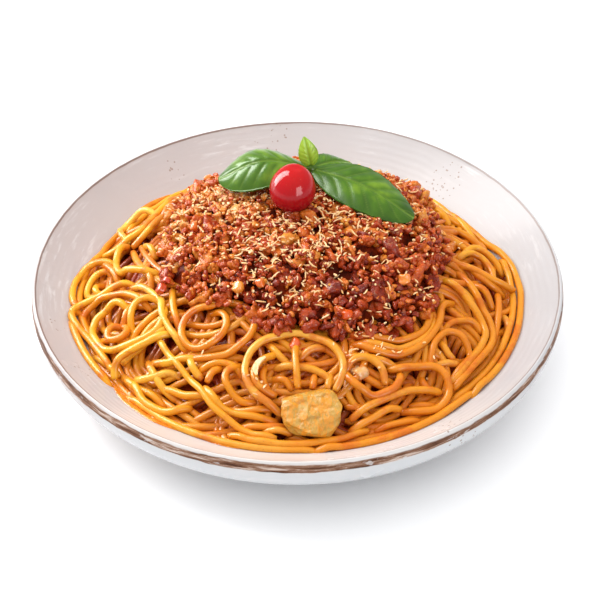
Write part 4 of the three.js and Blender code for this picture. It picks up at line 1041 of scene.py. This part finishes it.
def add_shreds(relief):
    """Strips of grated cheese, thickest round the tomato and down the middle of the meat."""
    rng = np.random.default_rng(23)
    spots = []
    while len(spots) < SHRED_COUNT:
        x, y = meat_spot(rng, 0.99)
        thick = 0.22 + sum(w * math.exp(-((x - a) ** 2 + (y - b) ** 2) / r**2)
                           for a, b, r, w in SHRED_PATCHES)
        beside = math.dist((x, y), TOMATO_CENTRE[:2]) > TOMATO_RADIUS + 0.5
        if beside and rng.uniform() < thick:
            spots.append((x, y))
    for x, y, reach, count in LOOSE_SHREDS:
        spots += [(x + rng.normal(0, reach / 2), y + rng.normal(0, reach / 2)) for _ in range(count)]
    spots.append(SLIVER)
    corners = np.array([(-1, -1), (1, -1), (1, 1), (-1, 1)], float)
    taper = np.array([0.45, 0.85, 1, 1, 0.85, 0.45])
    bodies = []
    for x, y in spots:
        length = rng.uniform(0.8, 1.9) if rng.uniform() < 0.62 else rng.uniform(1.8, 4.5)
        width, thick = rng.uniform(0.35, 0.7), rng.uniform(0.3, 0.5)
        if length < 1.5:
            width, thick = 1.5 * width, 1.4 * thick
        heading, curl = rng.uniform(0, TAU), rng.uniform(-0.25, 0.25)
        rise = rng.uniform(-0.3, 0.6)
        if (x, y) == SLIVER:
            length, width, thick, heading, curl, rise = 10, 2.2, 0.9, 1.2, -0.08, 0.15
        t = np.linspace(-0.5, 0.5, 6)
        turn = heading + curl * length * t
        line = np.stack([x + length * t * np.cos(turn), y + length * t * np.sin(turn),
                         rise * length * (t + 0.5)], -1)
        line[:, 2] += float(np.percentile(relief.at(line[:, 0], line[:, 1]), 70)) + 0.15
        bodies.append(tube(clear_of_leaves(line, 0.3), corners * (width / 2, thick / 2), taper))
    paint = cheese_paint("grated_cheese", (0.92, 0.64, 0.34), (0.86, 0.44, 0.15))
    piece = add_piece("cheese_shreds", *tubes(bodies), paint, "cheese")
    piece.data.shade_flat()


def add_dice(relief):
    """Small dice of carrot, tomato and onion, on the noodles and in the meat."""
    rng = np.random.default_rng(31)
    shapes = []
    for x, y, size, tint in DICE:
        sunk = 3.2 if y < -55 else 0
        shapes.append((x, y, relief.at(x, y) + size * 0.25 - sunk, size, tint))
    shapes = np.array(shapes)
    ball, triangles = icosphere(3)
    cube = np.sign(ball) * np.abs(ball) ** 0.62
    scale = shapes[:, 3:4] * rng.uniform(0.65, 1.0, (len(shapes), 3))
    body = cube[None] * scale[:, None]
    body += 0.3 * np.sin(body[:, :, [1, 2, 0]] * 1.7 + rng.uniform(0, 6, (len(shapes), 1, 3)))
    body = np.einsum("nij,npj->npi", turns(rng, len(shapes)), body) + shapes[:, None, :3]
    faces = copies(triangles, len(ball), len(shapes))
    tint = np.repeat(shapes[:, 4], len(ball))
    add_piece("vegetable_dice", body.reshape(-1, 3), faces, dice_paint(), "meat", tint=tint)


# ---- toppings ----


def add_tomato():
    profile = []
    for angle in np.radians(np.linspace(-89, 89, 60)):
        taper = 1 - TOMATO_TAPER * math.sin(angle)
        round_off = math.cos(angle) ** TOMATO_ROUNDNESS
        profile.append((TOMATO_RADIUS * round_off * taper, TOMATO_HEIGHT / 2 * math.sin(angle)))
    points, faces = lathe(profile, 96)
    dimple = np.exp(-(points[:, 0] ** 2 + points[:, 1] ** 2) / 2.2**2) * (points[:, 2] > 0)
    points[:, 2] -= 0.7 * dimple
    lean = math.radians(TOMATO_LEAN)
    across, up = points[:, 0].copy(), points[:, 2].copy()
    points[:, 0] = across * math.cos(lean) + up * math.sin(lean)
    points[:, 2] = up * math.cos(lean) - across * math.sin(lean)
    points += TOMATO_CENTRE
    add_piece("tomato", points, faces, tomato_paint(), "tomato", ["cherry_tomato"])


def leaf_mesh(start, tip, up, half_width, outline, arch, droop, wave, light):
    """A leaf's points, its faces, how near each point is to a vein, and the painted light on the blade there.
    """
    base, tip, up = (np.array(v, float) for v in (SPRIG_JOINT, tip, up))
    axis = tip - base
    side = unit(np.cross(up, axis))
    normal = unit(np.cross(axis, side))
    along, across = 72, 44
    u, v = np.meshgrid(np.linspace(0.004, 0.996, along), np.linspace(-1, 1, across), indexing="ij")
    belly = np.sin(math.pi * u ** outline[0])
    width = half_width * belly ** outline[1] * (1 + 0.012 * np.sin(u * 60) * np.abs(v) ** 6)
    height = arch * 4 * u * (1 - u) - droop * v * v + wave * v * np.sin(TAU * u)
    height = height * np.sin(math.pi * u) ** 0.5
    beat = (u - 0.22 * np.abs(v) ** 0.8) * LEAF_VEINS
    off_vein = np.abs(np.sin(math.pi * beat))
    off_rib = 1 - bell(v * width, 0.7)
    pillow = off_vein**0.6 * off_rib * (1 - np.abs(v) ** 3) * belly
    height = height + 0.055 * half_width * pillow - 0.35 * (1 - off_rib)
    vein = np.maximum(bell(v * width, 0.5), 0.7 * bell(off_vein, 0.16) * (1 - np.abs(v) ** 4))
    # painted light: each leaf's own lightness, and a painted sheen on the swells between veins
    shade = light + 0.45 * pillow
    sheet = base + u[..., None] * axis + (v * width)[..., None] * side
    over = sheet + (height + LEAF_THICKNESS / 2 * belly)[..., None] * normal
    below = sheet + (height - LEAF_THICKNESS / 2 * belly)[..., None] * normal
    points = np.concatenate([over.reshape(-1, 3), below.reshape(-1, 3)])
    i, j = np.meshgrid(np.arange(along - 1), np.arange(across - 1), indexing="ij")
    a = start + i * across + j
    top = np.stack([a, a + across, a + across + 1, a + 1], -1).reshape(-1, 4)
    half = along * across
    faces = top.tolist() + (top[:, ::-1] + half).tolist()
    grid = start + np.arange(half).reshape(along, across)
    edge = np.concatenate([grid[0], grid[1:, -1], grid[-1, -2::-1], grid[-2:0:-1, 0]])
    for one, two in zip(edge, np.roll(edge, -1)):
        faces.append([int(two), int(one), int(one) + half, int(two) + half])
    return points, faces, np.tile(vein.ravel(), 2), np.tile(shade.ravel(), 2)


def add_sprig():
    points, faces, vein, shade = [], [], [], []
    start = 0
    for shape in LEAVES:
        leaf_points, leaf_faces, leaf_vein, leaf_shade = leaf_mesh(start, *shape)
        points.append(leaf_points)
        faces += leaf_faces
        vein.append(leaf_vein)
        shade.append(leaf_shade)
        start += len(leaf_points)
    joint, foot = np.array(SPRIG_JOINT, float), np.array(STEM_FOOT, float)
    line = spaced([joint + [-0.6, 0, 1.4], joint, (joint + foot) / 2 + [0.6, 0, 0], foot], 0.8)
    ring = np.arange(12) * TAU / 12
    thick = 1.1 + 0.9 * bell(line[:, 2] - joint[2], 1.8)
    thick[[0, -1]] *= 0.3
    body = line[:, None] + thick[:, None, None] * np.stack([np.cos(ring), np.sin(ring), 0 * ring], -1)[None]
    points.append(body.reshape(-1, 3))
    faces += ring_faces(len(line), 12, start)
    vein.append(np.full(body[..., 0].size, 0.3))
    # painted light on the stem
    shade.append(np.full(body[..., 0].size, 0.1))
    values = dict(vein=np.concatenate(vein), shade=np.concatenate(shade))
    add_piece("basil_leaves", np.vstack(points), faces, leaf_paint(), "leaf", ["basil_sprig"], **values)


def add_chunk():
    """A lump of cheese broken off a wedge: cut by a few planes, with crumbly, chipped faces."""
    rng = np.random.default_rng(3)
    ball, triangles = icosphere(6)
    cuts = [(math.cos(math.radians(facing)), math.sin(math.radians(facing)), rng.uniform(-0.05, 0.3), off)
            for facing, off in CHUNK_SIDES]
    cuts += [(0.1, 0.15, 1, 0.86), (-0.5, -0.3, 1, 0.98), (0.5, -0.6, 1, 1.0), (0, 0, -1, 0.9)]
    reach = np.zeros(len(ball))
    for *way, off in cuts:
        reach += (np.clip(ball @ unit(np.array(way)), 0, None) / off) ** 24
    swell = reach ** (-1 / 24)
    for fine in (6, 11, 20, 34):
        for _ in range(3):
            way = unit(rng.normal(size=3)) * fine
            swell += 0.1 / fine * np.sin(ball @ way + rng.uniform(0, TAU))
    body = ball * swell[:, None] * np.array(CHUNK_SIZE) / 2
    # chips broken off its faces: each has its own place and slope
    chips = rng.uniform(-1, 1, (CHUNK_CHIPS, 2)) * np.array(CHUNK_SIZE[:2]) / 2
    slopes = rng.uniform(-0.2, 0.2, (CHUNK_CHIPS, 3))
    apart = np.hypot(*(body[:, None, :2] - chips).transpose(2, 0, 1))
    near = np.exp(-((apart - apart.min(1, keepdims=True)) / 0.25))
    near /= near.sum(1, keepdims=True)
    planes = ((body[:, None, :2] - chips) * slopes[:, :2]).sum(-1) + slopes[:, 2]
    body[:, 2] += (near * planes).sum(1) * np.clip(ball[:, 2] * 4, 0, 1)
    tilt = math.radians(CHUNK_TILT)
    turned = np.stack([body[:, 0], body[:, 1] * math.cos(tilt) - body[:, 2] * math.sin(tilt),
                       body[:, 1] * math.sin(tilt) + body[:, 2] * math.cos(tilt)], -1)
    lift = CHUNK_LIFT + CHUNK_SIZE[2] / 2 / math.cos(tilt)
    turned += np.array([*CHUNK_CENTRE, pile_height(*CHUNK_CENTRE) + lift])
    paint = cheese_paint("cheese_lump", (0.53, 0.31, 0.055), (0.47, 0.225, 0.010), 1.0)
    add_piece("cheese_lump", turned, triangles.tolist(), paint, "cheese", ["cheese_chunk"])


# ---- studio ----


def add_studio():
    bpy.ops.mesh.primitive_plane_add(size=6)
    floor = bpy.context.object
    floor.name = "floor"
    p = Paint("floor", Roughness=0.9)
    tone = p.noise(0.4, 2).ramp((0.3, (0.94, 0.94, 0.95)), (0.7, (0.95, 0.95, 0.955)))
    floor.data.materials.append(p.use(Base_Color=tone))

    world = bpy.data.worlds.new("studio")
    world.use_nodes = True
    world.node_tree.nodes["Background"].inputs["Color"].default_value = (0.985, 0.99, 1, 1)
    world.node_tree.nodes["Background"].inputs["Strength"].default_value = 0.68
    bpy.context.scene.world = world

    def softbox(name, place, aim, size, power, tint=(1, 1, 1)):
        light = bpy.data.lights.new(name, "AREA")
        light.shape = "RECTANGLE"
        light.size, light.size_y = size
        light.energy = power
        light.color = tint
        lamp = bpy.data.objects.new(name, light)
        bpy.context.scene.collection.objects.link(lamp)
        lamp.location = place
        way = np.array(aim) - np.array(place)
        tilt = math.acos(-way[2] / np.linalg.norm(way))
        lamp.rotation_euler = (tilt, 0, math.atan2(way[1], way[0]) - math.pi / 2)
        return lamp

    # soft light on everything, and two brighter panels that only show as reflections
    window = (-0.54, 0.24, 0.42)
    softbox("ceiling", (0, 0.12, 1.4), (0, 0, 0.04), (3.2, 3.2), 37.5).visible_glossy = False
    softbox("key", window, (0, 0, 0.04), (0.44, 0.72), 3.8, (1, 0.98, 0.95)).visible_glossy = False
    softbox("key_panel", window, (0, 0, 0.07), (0.38, 0.9), 22).visible_diffuse = False
    softbox("fill_panel", (0.50, -0.78, 0.15), (0, 0, 0.07), (0.48, 0.62), 8).visible_diffuse = False

    camera = bpy.data.objects.new("camera", bpy.data.cameras.new("camera"))
    camera.data.lens = 85.8
    camera.data.sensor_width = 36
    camera.location = (0.00118, -0.47733, 0.43697)
    camera.rotation_euler = (math.radians(48.9), 0, 0)
    bpy.context.scene.collection.objects.link(camera)
    bpy.context.scene.camera = camera
    bpy.context.scene.view_settings.view_transform = "Standard"


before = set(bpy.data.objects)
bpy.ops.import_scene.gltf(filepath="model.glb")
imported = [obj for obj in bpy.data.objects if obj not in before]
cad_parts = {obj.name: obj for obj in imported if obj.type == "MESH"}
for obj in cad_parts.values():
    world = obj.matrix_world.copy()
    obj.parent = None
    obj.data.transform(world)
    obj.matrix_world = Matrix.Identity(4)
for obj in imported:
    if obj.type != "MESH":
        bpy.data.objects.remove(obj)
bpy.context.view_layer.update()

add_studio()
add_bowl()
bed_relief = add_noodles()
add_sauce_film()
add_meat(bed_relief)
add_dice(bed_relief)
add_shreds(bed_relief)
add_tomato()
add_sprig()
add_chunk()
